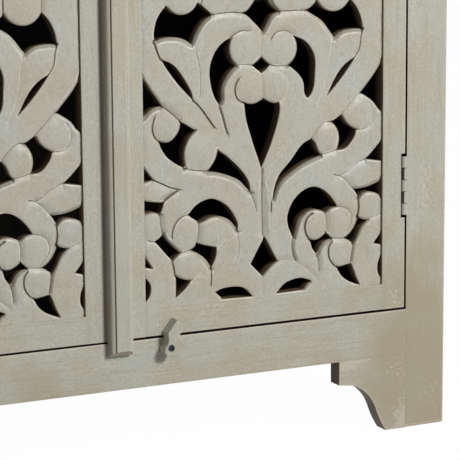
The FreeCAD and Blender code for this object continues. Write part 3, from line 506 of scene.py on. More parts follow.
@dataclass
class Shell:
    """Points in millimetres, faces and point attributes of a piece that is being made."""

    points: list = field(default_factory=list)
    faces: list = field(default_factory=list)
    marks: dict[str, list[float]] = field(default_factory=dict)

    def add_points(self, points: Iterable[Sequence[float]], **marks: float | Sequence[float]) -> range:
        """Add points with their attribute values.

        Args:
            points: positions in millimetres.
            marks: one value, or one per point, for each named attribute.

        Returns:
            The indices of the new points.
        """
        first = len(self.points)
        self.points.extend(Vector(p) for p in points)
        count = len(self.points) - first
        for name in {**self.marks, **marks}:
            values = self.marks.setdefault(name, [0.0] * first)
            value = marks.get(name, 0.0)
            values.extend([value] * count if isinstance(value, (int, float)) else list(value))
        return range(first, first + count)

    def mark(self, name: str, value: float) -> "Shell":
        """Give every point the same value of an attribute."""
        self.marks[name] = [value] * len(self.points)
        return self

    def chain(self, rings: Sequence[Sequence[int]]) -> None:
        """Close the bands between rings that follow each other.

        Args:
            rings: the points of each ring, as many in all of them.
        """
        for ring, following in zip(rings, rings[1:]):
            for i in range(len(ring)):
                j = (i + 1) % len(ring)
                self.faces.append((ring[i], ring[j], following[j], following[i]))

    def skin(self, rings: Sequence[Sequence[int]]) -> "Shell":
        """Close the bands between rings, and both ends.

        Args:
            rings: the points of each ring.

        Returns:
            This shell.
        """
        self.chain(rings)
        self.faces += [tuple(reversed(rings[0])), tuple(rings[-1])]
        return self

    def moved(self, matrix: Matrix) -> "Shell":
        """The same shell, moved or turned."""
        return Shell([matrix @ p for p in self.points], self.faces, self.marks)

    def join(self, other: "Shell") -> "Shell":
        """Take another shell into this one.

        Args:
            other: the other shell.

        Returns:
            This shell.
        """
        first = len(self.points)
        self.add_points(other.points, **other.marks)
        self.faces.extend(tuple(first + i for i in face) for face in other.faces)
        return self

    def mesh_object(self, name: str, finish: Finish) -> Object:
        """Make the object, welded, with its faces outward and its crisp edges kept.

        Args:
            name: the piece's name.
            finish: the finish of all its faces.

        Returns:
            The object, linked to the scene.
        """
        mesh = bpy.data.meshes.new(name)
        mesh.from_pydata([p * MM for p in self.points], [], self.faces)
        for mark, values in self.marks.items():
            data = mesh.attributes.new(mark, "FLOAT", "POINT").data
            data.foreach_set("value", np.array(values, np.float32))
        close_up(mesh)
        mesh.materials.append(finish.material())
        return linked(name, mesh)


def close_up(mesh: Mesh) -> None:
    """Weld a mesh, turn its faces outward and shade it smooth between its crisp edges.

    Args:
        mesh: the mesh, which changes.
    """
    work = bmesh.new()
    work.from_mesh(mesh)
    bmesh.ops.remove_doubles(work, verts=work.verts, dist=WELD * MM)
    bmesh.ops.dissolve_degenerate(work, edges=work.edges, dist=WELD * MM)
    bmesh.ops.recalc_face_normals(work, faces=work.faces)
    work.to_mesh(mesh)
    work.free()
    mesh.shade_smooth()
    mesh.set_sharp_from_angle(angle=SHARP_ANGLE)


def inside(spots: np.ndarray, loop: Sequence[Point2]) -> np.ndarray:
    """Which spots lie inside a closed loop.

    Args:
        spots: points.
        loop: the loop's corners.

    Returns:
        Whether each spot is inside.
    """
    ring = np.asarray(loop, float)
    result = np.zeros(len(spots), bool)
    for (ax, ay), (bx, by) in zip(ring, np.roll(ring, -1, axis=0)):
        if ay == by:
            continue
        crosses = (spots[:, 1] < ay) != (spots[:, 1] < by)
        result ^= crosses & (spots[:, 0] < ax + (spots[:, 1] - ay) / (by - ay) * (bx - ax))
    return result


def fill(loops: Sequence[Sequence[Point2]]) -> tuple[list[Point2], list[tuple[int, ...]]]:
    """Triangles between an outline and the holes in it.

    Args:
        loops: the outline, then the holes.

    Returns:
        Points and triangles.
    """
    points, edges = [], []
    for loop in loops:
        first, count = len(points), len(loop)
        points.extend(Vector(p) for p in loop)
        edges.extend((first + i, first + (i + 1) % count) for i in range(count))
    found, _, triangles, *_ = delaunay_2d_cdt(points, edges, [], 0, WELD)
    spots = np.array([[found[i] for i in t] for t in triangles]).mean(axis=1)
    keep = inside(spots, loops[0])
    for hole in loops[1:]:
        keep &= ~inside(spots, hole)
    return [tuple(p) for p in found], [t for t, k in zip(triangles, keep) if k]


def inset(loop: Sequence[Point2], distance: float, shares: Sequence[float]) -> Run:
    """Move the edges of a counter-clockwise loop inward.

    Args:
        loop: the corners.
        distance: how far an edge with a share of one moves.
        shares: a share for the edge that starts at each corner.

    Returns:
        The corners of the smaller loop.
    """
    result = []
    for i, point in enumerate(loop):
        normals, reaches = [], []
        for k in (i - 1, i):
            a, b = Vector(loop[k]), Vector(loop[(k + 1) % len(loop)])
            along = (b - a).normalized()
            normals.append(Vector((-along.y, along.x)))
            reaches.append(distance * shares[k])
        turn = normals[0].x * normals[1].y - normals[0].y * normals[1].x
        if abs(turn) < STRAIGHT:
            step = (normals[0] + normals[1]).normalized() * (sum(reaches) / 2)
        else:
            x = (reaches[0] * normals[1].y - reaches[1] * normals[0].y) / turn
            y = (normals[0].x * reaches[1] - normals[1].x * reaches[0]) / turn
            step = Vector((x, y))
        result.append(tuple(Vector(point) + step))
    return result


def arc_through(start: Point2, middle: Point2, end: Point2, steps: int) -> Run:
    """Draw the arc through three points, without its end.

    Args:
        start: where it begins.
        middle: a point on it.
        end: where it ends.
        steps: how many points are made.

    Returns:
        The points.
    """
    (ax, ay), (bx, by), (cx, cy) = start, middle, end
    d = 2 * (ax * (by - cy) + bx * (cy - ay) + cx * (ay - by))
    a2, b2, c2 = ax * ax + ay * ay, bx * bx + by * by, cx * cx + cy * cy
    ox = (a2 * (by - cy) + b2 * (cy - ay) + c2 * (ay - by)) / d
    oy = (a2 * (cx - bx) + b2 * (ax - cx) + c2 * (bx - ax)) / d
    first, mid, last = (math.atan2(y - oy, x - ox) for x, y in (start, middle, end))
    turn = (last - first) % math.tau
    if (mid - first) % math.tau > turn:
        turn -= math.tau
    radius = math.hypot(ax - ox, ay - oy)
    angles = [first + turn * i / steps for i in range(steps)]
    return [(ox + radius * math.cos(t), oy + radius * math.sin(t)) for t in angles]


def circle(radius: float, steps: int) -> Run:
    """Points of a circle about the origin, counter-clockwise."""
    angles = [math.tau * i / steps for i in range(steps)]
    return [(radius * math.cos(t), radius * math.sin(t)) for t in angles]


def quarter(steps: int) -> list[float]:
    """Angles of a quarter turn in some steps, with both ends."""
    return [math.pi / 2 * i / steps for i in range(steps + 1)]


def box_mm(node: str) -> tuple[Vector, Vector]:
    """Lowest and highest corner of a CAD node, in millimetres."""
    low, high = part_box(node)
    return low / MM, high / MM


@dataclass
class Board:
    """A planed board, its arrises eased by hand.

    The four long arrises go round the section counter-clockwise, as the next two axes after the grain see it,
    from the corner where both are lowest.
    """

    low: Vector
    high: Vector
    grain: Axis
    arris: tuple[float, float, float, float] = (1.2, 1.2, 1.2, 1.2)
    ends: tuple[float, float] = (1.0, 1.0)
    wobble: float = 0.3

    # Flat strip beside an arris and its greatest share of a face, and the step along the board
    SUPPORT = 3.5
    SUPPORT_SHARE = 0.3
    STEP = 26.0
    # Wear of the points round an arris, by the degrees of its turn
    TURNS = {0: 0.75, 30: 1.0, 60: 1.0, 90: 0.75}
    # How far the hand's drift reaches along an arris, and what makes it differ by corner and by place
    DRIFT = 34.0
    DRIFT_CORNER, DRIFT_PLACE = 7.3, 0.1

    def section(self, inward: float, along: float) -> tuple[list[Vector], list[float]]:
        """Points and wear of the section at a place along the board.

        Args:
            inward: how far the section is drawn in there, near a rounded end.
            along: the place along the grain.

        Returns:
            Points and their wear.
        """
        length = self.grain.value
        first, second = (length + 1) % 3, (length + 2) % 3
        spans = [self.high[axis] - self.low[axis] for axis in (first, second)]
        across, up = self.low.x * self.DRIFT_PLACE, self.low.z * self.DRIFT_PLACE
        points, wear = [], []
        for corner, signs in enumerate(((-1, -1), (1, -1), (1, 1), (-1, 1))):
            eased = self.arris[corner] > EASED
            radius = max(self.arris[corner] - inward, TINY)
            drift = noise.noise(Vector((corner * self.DRIFT_CORNER + across, along / self.DRIFT, up)))
            slack = self.wobble * (0.5 + 0.5 * drift) if eased else 0.0
            free = [self.SUPPORT_SHARE * (span - 2 * inward - 2 * radius) for span in spans]
            reach = [min(self.SUPPORT, share) for share in free]
            centre = [
                (self.low if sign < 0 else self.high)[axis] - sign * (inward + slack) - sign * radius
                for axis, sign in zip((first, second), signs)
            ]
            before, after = reach[::-1] if corner % 2 == 0 else reach
            start = 180 + 90 * corner
            ring = [(start + turn, 0.0, worn) for turn, worn in self.TURNS.items()]
            for degrees, shift, worn in [(start, -before, 0.0), *ring, (start + 90, after, 0.0)]:
                cos, sin = math.cos(math.radians(degrees)), math.sin(math.radians(degrees))
                point = Vector((0, 0, 0))
                point[length] = along
                point[first] = centre[0] + radius * cos - shift * sin
                point[second] = centre[1] + radius * sin + shift * cos
                points.append(point)
                wear.append(worn if eased else 0.0)
        return points, wear

    def shell(self) -> Shell:
        """Make the board.

        Returns:
            Its closed shell.
        """
        ends = []
        for corner, sign, end in ((self.low, 1, self.ends[0]), (self.high, -1, self.ends[1])):
            place, radius = corner[self.grain.value], max(end, TINY)
            worn = 1.0 if radius > EASED else 0.0
            turns = [(1 - math.cos(t), 1 - math.sin(t)) for t in quarter(2)]
            rings = [(place + sign * radius * back, radius * inward, worn) for back, inward in turns]
            ends.append([*rings, (place + sign * (radius + self.SUPPORT), 0.0, 0.0)])
        head, tail = ends[0], ends[1][::-1]
        begin, span = head[-1][0], tail[0][0] - head[-1][0]
        count = max(1, round(span / self.STEP))
        middle = [(begin + span * i / count, 0.0, 0.0) for i in range(1, count)]
        made, rings = Shell(), []
        for along, inward, worn in head + middle + tail:
            points, wear = self.section(inward, along)
            rings.append(made.add_points(points, wear=[max(value, worn) for value in wear]))
        return made.skin(rings)


@dataclass
class Plate:
    """A flat piece sawn to an outline, its front arris eased and its sawn sides left unpainted where asked,
    their brown partly painted shade.

    The outline runs counter-clockwise as seen from the front; its shares say which edges are eased.
    """

    outline: Run
    thickness: float
    arris: float
    shares: Sequence[float] | None = None
    holes: list[Run] = field(default_factory=list)
    support: float = 2.5
    steps: int = 3
    bare_sides: float = 0.0
    worn: float = 1.0

    # Where the unpainted wood begins behind the arris, and the depth of a hole's back, whose dark is painted
    # shade
    BARE_FROM = 1.0
    HOLE_BARE = 0.6

    def shell(self, origin: Vector, right: Vector, up: Vector, into: Vector) -> Shell:
        """The closed shell of the plate.

        Args:
            origin: where the outline's origin is, on the front face.
            right: direction of the outline's first number.
            up: direction of its second number.
            into: direction from the front to the back.

        Returns:
            The shell.
        """
        shares = self.shares or [1.0] * len(self.outline)
        turns = [(1 - math.sin(t), 1 - math.cos(t)) for t in quarter(self.steps)]
        near = min(self.arris + self.BARE_FROM, 0.5 * self.thickness)
        levels = [
            (self.arris + self.support, 0.0, 0.0, 0.0),
            *((self.arris * inward, self.arris * level, self.worn, 0.0) for inward, level in turns),
            (0.0, near, 0.0, self.bare_sides),
            (0.0, self.thickness, 0.0, self.bare_sides),
        ]
        made = Shell()

        def put(loop: Run, level: float, worn: float, bare: float) -> range:
            """Add a loop at a level behind the front."""
            spots = [origin + right * a + up * b + into * level for a, b in loop]
            return made.add_points(spots, wear=worn, depth=bare)

        made.chain([put(inset(self.outline, inward, shares), *level) for inward, *level in levels])
        for hole in self.holes:
            made.chain([put(hole, 0.0, 0.0, 0.0), put(hole, self.thickness, 0.0, self.HOLE_BARE)])
        front = inset(self.outline, levels[0][0], shares)
        for loop, level, bare in ((front, 0.0, 0.0), (self.outline, self.thickness, self.bare_sides)):
            points, triangles = fill([loop, *self.holes])
            first = put(points, level, 0.0, bare)[0]
            made.faces.extend(tuple(first + i for i in t) for t in triangles)
        return made


def lathe(profile: Sequence[Sequence[float]], steps: int) -> Shell:
    """A turned piece about Z.

    Args:
        profile: radius, height and, where it is worn, wear of each ring, from one end on the axis to the other.
        steps: faces round the axis.

    Returns:
        The closed shell.
    """
    made, rings = Shell(), []
    for radius, height, *worn in profile:
        spots = [(x, y, height) for x, y in circle(max(radius, TINY), steps)]
        rings.append(made.add_points(spots, wear=sum(worn)))
    return made.skin(rings)


# Geometry Nodes


def new_tree(name: str, sockets: dict[str, str]) -> tuple[NodeTree, dict[str, NodeSocket]]:
    """A geometry tree with named inputs and one geometry output.

    Args:
        name: the tree's name.
        sockets: type of each named input.

    Returns:
        The tree and its input sockets by name.
    """
    tree = bpy.data.node_groups.new(name, "GeometryNodeTree")
    for label, kind in sockets.items():
        tree.interface.new_socket(label, in_out="INPUT", socket_type=f"NodeSocket{kind}")
    tree.interface.new_socket("Geometry", in_out="OUTPUT", socket_type="NodeSocketGeometry")
    given = add(tree, "NodeGroupInput").outputs
    return tree, {label: given[label] for label in sockets}


def end_tree(tree: NodeTree, instances: NodeSocket, finish: NodeSocket) -> NodeTree:
    """Realize the instances, set their material and send them out.

    Args:
        tree: the geometry tree.
        instances: what it has made.
        finish: its material input.

    Returns:
        The finished tree.
    """
    real = add(tree, "GeometryNodeRealizeInstances", {0: instances}).outputs[0]
    dressed = add(tree, "GeometryNodeSetMaterial", {"Geometry": real, "Material": finish}).outputs[0]
    add(tree, "NodeGroupOutput", {0: dressed})
    return tree


def rows_tree() -> NodeTree:
    """Copies of a piece in rows: a line of lines, each with its own count and step.

    Returns:
        The geometry tree.
    """
    kinds = {"Piece": "Object", "Start": "Vector", "Rows": "Int", "Row Step": "Vector", "Count": "Int"}
    tree, given = new_tree("copies_in_rows", {**kinds, "Step": "Vector", "Finish": "Material"})
    rows = {"Count": given["Rows"], "Start Location": given["Start"], "Offset": given["Row Step"]}
    lines = add(tree, "GeometryNodeMeshLine", rows).outputs[0]
    line = add(tree, "GeometryNodeMeshLine", {"Count": given["Count"], "Offset": given["Step"]}).outputs[0]
    spread = add(tree, "GeometryNodeInstanceOnPoints", {"Points": lines, "Instance": line}).outputs[0]
    spots = add(tree, "GeometryNodeRealizeInstances", {0: spread}).outputs[0]
    piece = add(tree, "GeometryNodeObjectInfo", {"Object": given["Piece"]}).outputs["Geometry"]
    copies = add(tree, "GeometryNodeInstanceOnPoints", {"Points": spots, "Instance": piece}).outputs[0]
    return end_tree(tree, copies, given["Finish"])


def motifs_tree() -> NodeTree:
    """A carved panel from half of its motif: mirrored over, repeated upward, with the band between.

    Returns:
        The geometry tree.
    """
    kinds = {"Half": "Object", "Band": "Object", "First": "Vector", "Motifs": "Int", "Step": "Vector"}
    tree, given = new_tree("mirrored_motifs", {**kinds, "Finish": "Material"})
    half = add(tree, "GeometryNodeObjectInfo", {"Object": given["Half"]}).outputs["Geometry"]
    twin = add(tree, "GeometryNodeTransform", {"Geometry": half, "Scale": (1, 1, -1)}).outputs[0]
    shape = add(tree, "GeometryNodeJoinGeometry", {0: [half, twin]}).outputs[0]
    line = {"Count": given["Motifs"], "Start Location": given["First"], "Offset": given["Step"]}
    spots = add(tree, "GeometryNodeMeshLine", line).outputs[0]
    motifs = add(tree, "GeometryNodeInstanceOnPoints", {"Points": spots, "Instance": shape}).outputs[0]
    band = add(tree, "GeometryNodeObjectInfo", {"Object": given["Band"]}).outputs["Geometry"]
    both = add(tree, "GeometryNodeJoinGeometry", {0: [motifs, band]}).outputs[0]
    return end_tree(tree, both, given["Finish"])


ROWS = rows_tree()
MOTIFS = motifs_tree()


def grown(name: str, tree: NodeTree, inputs: dict) -> Object:
    """Run a tree and keep its result as a plain mesh.

    Args:
        name: the piece's name.
        tree: the geometry tree.
        inputs: a value for each named input; objects among them are used up.

    Returns:
        The object, with no modifier left on it.
    """
    host = linked(name, bpy.data.meshes.new(name))
    modifier = host.modifiers.new(tree.name, "NODES")
    modifier.node_group = tree
    for item in tree.interface.items_tree:
        if item.in_out == "INPUT":
            modifier[item.identifier] = inputs[item.name]
    bpy.context.view_layer.update()
    evaluated = host.evaluated_get(bpy.context.evaluated_depsgraph_get())
    mesh = bpy.data.meshes.new_from_object(evaluated)
    host.modifiers.clear()
    host.data = mesh
    close_up(mesh)
    for value in inputs.values():
        if isinstance(value, Object):
            bpy.data.objects.remove(value)
    return host


def in_rows(
    name: str,
    piece: Object,
    finish: Finish,
    start: Point3 = (0, 0, 0),
    rows: tuple[int, Point3] = (1, (0, 0, 0)),
    line: tuple[int, Point3] = (1, (0, 0, 0)),
) -> Object:
    """Copies of a piece in rows.

    Args:
        name: the name of the whole.
        piece: what is copied, and used up.
        finish: the finish of the copies.
        start: how far the first copy is moved, in millimetres.
        rows: how many rows there are, and the step from one to the next.
        line: how many copies are in a row, and the step between them.

    Returns:
        One object with all the copies.
    """
    places = {"Start": start, "Row Step": rows[1], "Step": line[1]}
    inputs = {label: tuple(value * MM for value in place) for label, place in places.items()}
    counts = {"Rows": rows[0], "Count": line[0]}
    return grown(name, ROWS, {"Piece": piece, "Finish": finish.material(), **inputs, **counts})


def fit(piece: Object, body: str, slot: str, *nodes: str) -> None:
    """Let a piece ride on a body and stand for its CAD nodes.

    Args:
        piece: the finished piece.
        body: the body it moves with.
        slot: the record's material slot; not used.
        nodes: the CAD nodes that it replaces.
    """
    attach(piece, body)
    if nodes:
        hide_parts(*nodes)
    LOG.info("%s: %d faces on %s", piece.name, len(piece.data.polygons), body)


def dress(finish: Finish, *nodes: str) -> None:
    """Give CAD nodes that stay as they are a finish.

    Args:
        finish: the finish.
        nodes: the CAD nodes.
    """
    for name in nodes:
        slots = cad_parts[name].data.materials
        slots.clear()
        slots.append(finish.material())
        LOG.info("%s: kept, in %s", name, finish.name)


# Carved panels

# Across from the middle line to a place past the panel's border, where openings at it are cut off
PAST = 163.0


@dataclass(frozen=True)
class Groove:
    """A line where one carved form lies over another, named by a point of the upper one, or an open valley."""

    depth: float
    slope: float
    over: Point2
    path: tuple[Point2, ...]
    open: bool = False

    # The deepest groove without a crest
    SOFT = 1.1

    @property
    def soft(self) -> bool:
        """Whether it is too shallow for a crest."""
        return self.depth <= self.SOFT


# Openings as rings of runs, in millimetres across from the motif's middle line and up from its foot: each run
# is smooth and ends at the first point of the next. The two halves were cut by hand and differ.
RIGHT_OPENINGS: tuple[list[Run], ...] = (
    [[(12.5, 2.4), (25, 14.5), (36, 18.3), (48, 18.9)], [(61.5, 14.1), (55, 9)], [(51, 3.5)]],
    [
        [(8, 118), (12.8, 139.5), (19, 150.7), (33.4, 165.7), (50, 184.5)],
        [(62.5, 190.5), (67, 183), (70.5, 175)],
        [(75.5, 169), (66, 166), (47, 158.5), (32, 149.5), (18, 138.5)],
    ],
    [
        [(36.2, 69), (32.6, 77), (28.4, 89.5), (32.7, 109.5), (47.7, 125.7), (64, 130.7), (80.2, 124.5)],
        [(98, 103.5), (88, 101.8)],
        [(81, 97), (69, 102), (54, 99.5), (42.7, 89.5), (38.8, 78)],
    ],
    [
        [(59.6, 64.8), (66.5, 64.4), (74, 67)],
        [(82, 72.6), (85.5, 69)],
        [(90.2, 64.5), (79, 60.7), (72, 53)],
        [(68.6, 46.4), (62.5, 54.5)],
    ],
    [
        [(107.5, 63), (114, 67.6), (120.2, 74.5), (124.3, 82)],
        [(126.5, 87.6), (134, 84.5)],
        [(140.9, 82.9), (131.5, 74.5), (126.5, 65.7), (122.7, 58.2)],
        [(120, 54.5), (114, 59.5)],
    ],
    [
        [(96.5, 28), (103, 28.4), (110, 29.7)],
        [(116.7, 30.8), (119, 25.7), (122.7, 15.7)],
        [(129.5, 2), (114, 8.2), (106.5, 13.2), (100.2, 20.7)],
    ],
    [[(148.4, 53.2), (154, 60)], [(PAST, 71)], [(PAST, 49.4)]],
    [[(160.5, 38), (156.5, 32), (154.4, 23.2), (156, 13)], [(160.5, 7.6)], [(PAST, 7.6)], [(PAST, 38)]],
    [
        [(120.2, 123.6), (131.5, 123.9), (144, 126.2), (155, 130.2)],
        [(PAST, 134)],
        [(PAST, 109), (153, 115.6), (144, 118.2), (134, 117.9)],
        [(127.1, 112.6), (124, 117.2)],
    ],
    [[(135.9, 159.5), (142.5, 165), (150, 172.3)], [(PAST, 185.5)], [(PAST, 155), (149, 157.3)]],
    [
        [(129, 242), (137.7, 252), (146.5, 262), (154, 272.2)],
        [(PAST, 289)],
        [(PAST, 215), (154.6, 220.7), (148, 229), (140, 235.6)],
    ],
    [
        [(89.6, 209.2), (96.5, 213.2)],
        [(102.7, 217), (106.5, 210.7), (112.7, 203.9)],
        [(124, 197), (121.5, 189.5), (116.5, 182), (108, 174.6)],
        [(96.5, 173.5), (99.4, 184), (98.2, 197)],
    ],
    [[(82.7, 240.7), (89, 253.2), (98, 268), (108, 278.4)], [(122.7, 287), (111.5, 272), (96, 254)]],
    [
        [(53.7, 345.7), (62.5, 350.6)],
        [(69.5, 357), (74.5, 350.3), (82, 345.2), (92, 343), (102, 345.2), (109.5, 350.3)],
        [(115.5, 357), (122, 349.5), (129, 336)],
        [(132.7, 320), (123, 321), (113, 320.5), (102, 318)],
        [(93, 311.5), (86.5, 319.5), (75, 333), (65, 339.5)],
    ],
    [
        [(30.2, 280.7), (38.7, 290), (41.8, 301), (40.8, 309)],
        [(37.7, 315.7), (51.5, 310.1), (61, 300.5), (66.5, 287), (66.3, 268), (60.2, 243), (56.5, 240)]
        + [(53, 243.5), (51, 257), (43, 270.4)],
    ],
)
LEFT_OPENINGS: tuple[list[Run], ...] = (
    [
        [(18.4, 2), (24, 8.2), (30.5, 14), (38, 16.4), (50, 17.2), (61.5, 15.8)],
        [(69.6, 12.6), (65.5, 9)],
        [(60, 3)],
    ],
    [
        [(21, 130.8), (26.5, 136), (31.5, 141.4), (38, 147), (48, 152), (60, 156.4)],
        [(79, 159.8), (72.8, 166.6), (68, 174)],
        [(64.4, 185.6), (60, 182), (52.8, 177), (46.5, 171.4), (40.2, 165.6), (32.8, 157.6), (26.5, 149.5)]
        + [(22.6, 140.6)],
    ],
    [
        [(39, 85.8), (44, 92.6), (50.2, 98.9), (59, 103.6), (68, 104.8), (77, 103.3), (84, 100.2)],
        [(90.2, 98), (94, 102), (99, 105.6)],
        [(104, 109.4), (97.8, 117), (90.2, 122.6), (81.5, 126), (74, 127), (66.5, 125.2), (60, 122)]
        + [(52.5, 116.6), (46.5, 109.5), (42, 102), (38.4, 93)],
    ],
    [
        [(66.9, 67.6), (80, 70.6)],
        [(93.4, 74.8), (96.8, 70.4)],
        [(101.5, 67), (90.2, 60.8), (82.5, 54.5), (77.6, 48)],
        [(74.6, 42.6), (69.5, 52), (67, 61)],
    ],
    [
        [(114.2, 64.5), (120.4, 60)],
        [(125, 55.6), (131.5, 62.6), (139, 71.2)],
        [(147, 80.8), (141.5, 84)],
        [(136.5, 88.9), (132.8, 82.6), (126.5, 75.8), (120.2, 69.5)],
    ],
    [[(100.6, 30.1), (110, 32)], [(121.3, 37), (121, 24)], [(121.7, 10.8), (111.5, 18.2)]],
    [[(151.2, 49), (156.8, 58)], [(PAST, 71.5)], [(PAST, 51)]],
    [[(160.5, 39), (155.5, 33), (153.4, 26), (156, 15)], [(160.5, 8)], [(PAST, 8)], [(PAST, 39)]],
    [
        [(135.2, 127), (148, 128.6)],
        [(PAST, 131.6)],
        [(PAST, 113.5), (151, 116.6)],
        [(140.4, 113.4), (137, 121)],
    ],
    [[(148.4, 154.8), (155, 163)], [(PAST, 175)], [(PAST, 151), (155, 153.8)]],
    [
        [(136.5, 241.4), (142.8, 250.8), (150.2, 260.6), (157.6, 272)],
        [(PAST, 285.5)],
        [(PAST, 224.6), (157.6, 232), (151.5, 237.6), (144, 240.8)],
    ],
    [
        [(93.6, 210.4), (100.2, 203.2), (106.4, 193.2), (109, 184), (109.2, 175)],
        [(108.8, 166.4), (116.5, 170.2), (124, 175.2), (130.6, 180.6), (135.4, 187), (139, 193.4)],
        [(140.8, 199.8), (131, 198.2), (124, 200.8), (117.8, 207), (114, 214.5)],
        [(113.4, 222.4), (104, 217)],
    ],
    [
        [(96, 245.8), (102.8, 252.6), (114, 264.5), (124, 277), (131.5, 287.4)],
        [(136.5, 295.8), (126.5, 292.4), (117.8, 286), (109, 274.6), (102, 263.2), (97.8, 254.6)],
    ],
    [
        [(69.6, 345.1), (79, 340.8), (86.5, 333.2), (92.8, 323.4)],
        [(97.5, 312.2), (102.8, 315.8), (111.5, 320), (124, 321.6), (135, 321)],
        [(144.6, 317.2), (145.4, 325), (144.6, 332), (142.6, 340), (139, 347), (134, 353.2)],
        [(129, 357.8), (124, 352.4), (117.8, 348.4), (109, 347), (100.2, 348.9), (92.8, 353.8)],
        [(87.6, 360.4), (79, 353.6)],
    ],
    [
        [(62, 239.6), (64.6, 242), (67.8, 247), (71.5, 257), (74, 269.5), (74.4, 279.5), (72, 290.8)]
        + [(67.8, 300), (61.5, 308.2), (54, 313.9)],
        [(45.9, 317.6), (48, 310.6), (48.8, 303), (47.6, 296.6), (44.6, 290)],
        [(39.6, 283.9), (46.5, 278.2), (52.8, 270.6), (57.8, 262), (59.8, 252), (59.8, 243)],
    ],
)
MIDDLE_OPENINGS: tuple[list[Run], ...] = (
    [
        [(-5.5, 26), (3, 34.5), (9.5, 39.6)],
        [(15, 43), (8, 55)],
        [(-2.5, 75), (-12.5, 59)],
        [(-21.8, 42.6), (-13.5, 34)],
    ],
    [
        [(-7.0, 158.6), (2.0, 177), (10.5, 198), (16.6, 217), (18.6, 229)],
        [(18.0, 237.2), (11.5, 236.2), (4, 238.6)],
        [(-3.8, 242.4), (-10.4, 239.2), (-18, 237), (-23, 237.4)],
        [(-28.8, 239), (-28.4, 231), (-27.4, 223), (-25, 212.6), (-20.8, 199.4), (-16.4, 185.6), (-11, 171)],
    ],
    [
        [(-5.6, 273), (0.5, 277.5)],
        [(6, 282.4), (0.5, 287)],
        [(-5.8, 293), (-12, 287.6)],
        [(-18.3, 283.2), (-12, 278)],
    ],
    # Half of the star on the line where two half motifs meet
    [
        [(4.5, 367), (5.5, 360), (9.5, 352.5)],
        [(18, 345.7), (10, 343), (3.4, 335)],
        [(-4, 322.4), (-10.2, 329), (-17.8, 336.4), (-24, 342)],
        [(-30.9, 345.8), (-24, 349), (-17.8, 354.5), (-12.6, 360)],
        [(-9.5, 367)],
    ],
)
RIGHT_GROOVES = (
    Groove(1.6, 6, (100, 84), ((98, 103.5), (112, 99), (118, 88), (115, 75), (106, 66.5))),
    Groove(3.4, 8, (68, 83), ((60, 65), (54.5, 75), (54, 85), (58, 93), (64, 97))),
    Groove(2.6, 7, (68, 83), ((81, 97), (82.5, 90), (83, 82), (82, 72.6))),
    Groove(2.0, 6, (100, 84), ((90.2, 64.5), (99, 63.5), (107.5, 63))),
    Groove(2.8, 8, (101, 46), ((96.5, 28), (91, 33.5), (87.5, 39), (86, 46), (87, 54), (91, 60))),
    Groove(5.0, 3.5, (101, 46), ((120, 54.5), (118.5, 45), (116.5, 32))),
    Groove(4.0, 6, (60, 35), ((68.6, 46.4), (71.5, 38), (72.3, 24.5))),
    Groove(5.0, 4, (20, 60), ((36.2, 69), (35.2, 60), (36.4, 50), (40, 41))),
    Groove(1.2, 5, (45, 22), ((40, 41), (55, 30), (68, 18))),
    Groove(2.2, 9, (115, 165), ((95, 143), (100, 141.5), (115, 149), (128, 156.5), (135.9, 159.5))),
    Groove(1.8, 8, (100, 128), ((100, 141.5), (108, 137), (115, 130), (120.2, 123.6))),
    Groove(3.0, 6, (143.6, 102.6), ((127.1, 112.6), (128.5, 100), (126.5, 87.6))),
    Groove(1.6, 6, (143.6, 102.6), ((141, 83), (148, 86), (155, 88))),
    Groove(1.4, 6, (127, 215), ((137.7, 197.6), (145, 203), (148, 213), (146, 223), (141, 230))),
    Groove(1.4, 5, (127, 215), ((124, 197), (131, 196.5), (137.7, 197.6))),
    Groove(2.6, 9, (65, 215), ((62.5, 190.5), (68, 198), (75, 205), (82, 209), (89.6, 209.2))),
    Groove(2.4, 9, (100, 240), ((102.7, 217), (112, 226), (120, 234), (129, 242))),
    Groove(2.0, 7, (83.6, 189), ((75.5, 169), (84, 170.5), (96.5, 173.5))),
    Groove(1.2, 9, (70, 290), ((93, 311.5), (90, 300), (88, 285), (85, 265), (78, 245), (70, 230))),
    Groove(1.6, 8, (145, 305), ((132.7, 320), (130, 308), (128, 296), (122.7, 287))),
    Groove(1.8, 7, (20, 303), ((8, 313), (13, 319.5), (22, 322.5), (33, 320), (37.7, 315.7))),
    Groove(1.8, 7, (20, 303), ((6, 282.4), (19, 280), (30.2, 280.7))),
    Groove(0.9, 7, (12, 257), ((20, 237.5), (25, 243), (30, 252), (29, 262), (24, 270), (14, 275))),
    Groove(2.6, 8, (40, 360), ((18, 345.7), (36, 345.7), (53.7, 345.7))),
    Groove(2.2, 6, (92, 367), ((69.5, 357), (70, 367))),
    Groove(2.2, 6, (92, 367), ((115.5, 357), (116, 367))),
    Groove(1.2, 6, (28, 30), ((15, 43), (28, 43.5), (40, 41))),
    Groove(2.0, 4, (30, 110), ((8, 118), (7.2, 112), (7, 105))),
    Groove(
        0.9,
        9,
        (40, 180),
        ((48.8, 215.5), (41.2, 203.9), (33.7, 193.5), (24.6, 182), (15.5, 169), (9.5, 159)),
    ),
    Groove(4.2, 7.3, (20, 110), ((-4.6, 158), (-4.4, 140), (-4, 110), (-3, 76)), True),
    Groove(1.1, 3.5, (20, 257), ((-5, 273), (-4, 255), (-3.8, 242.4)), True),
    Groove(1.1, 3.5, (20, 303), ((-5.8, 293), (-5.5, 308), (-5, 322)), True),
    Groove(1.1, 4, (20, 15), ((-5.5, 26), (-5, 12), (-5, 1)), True),
)
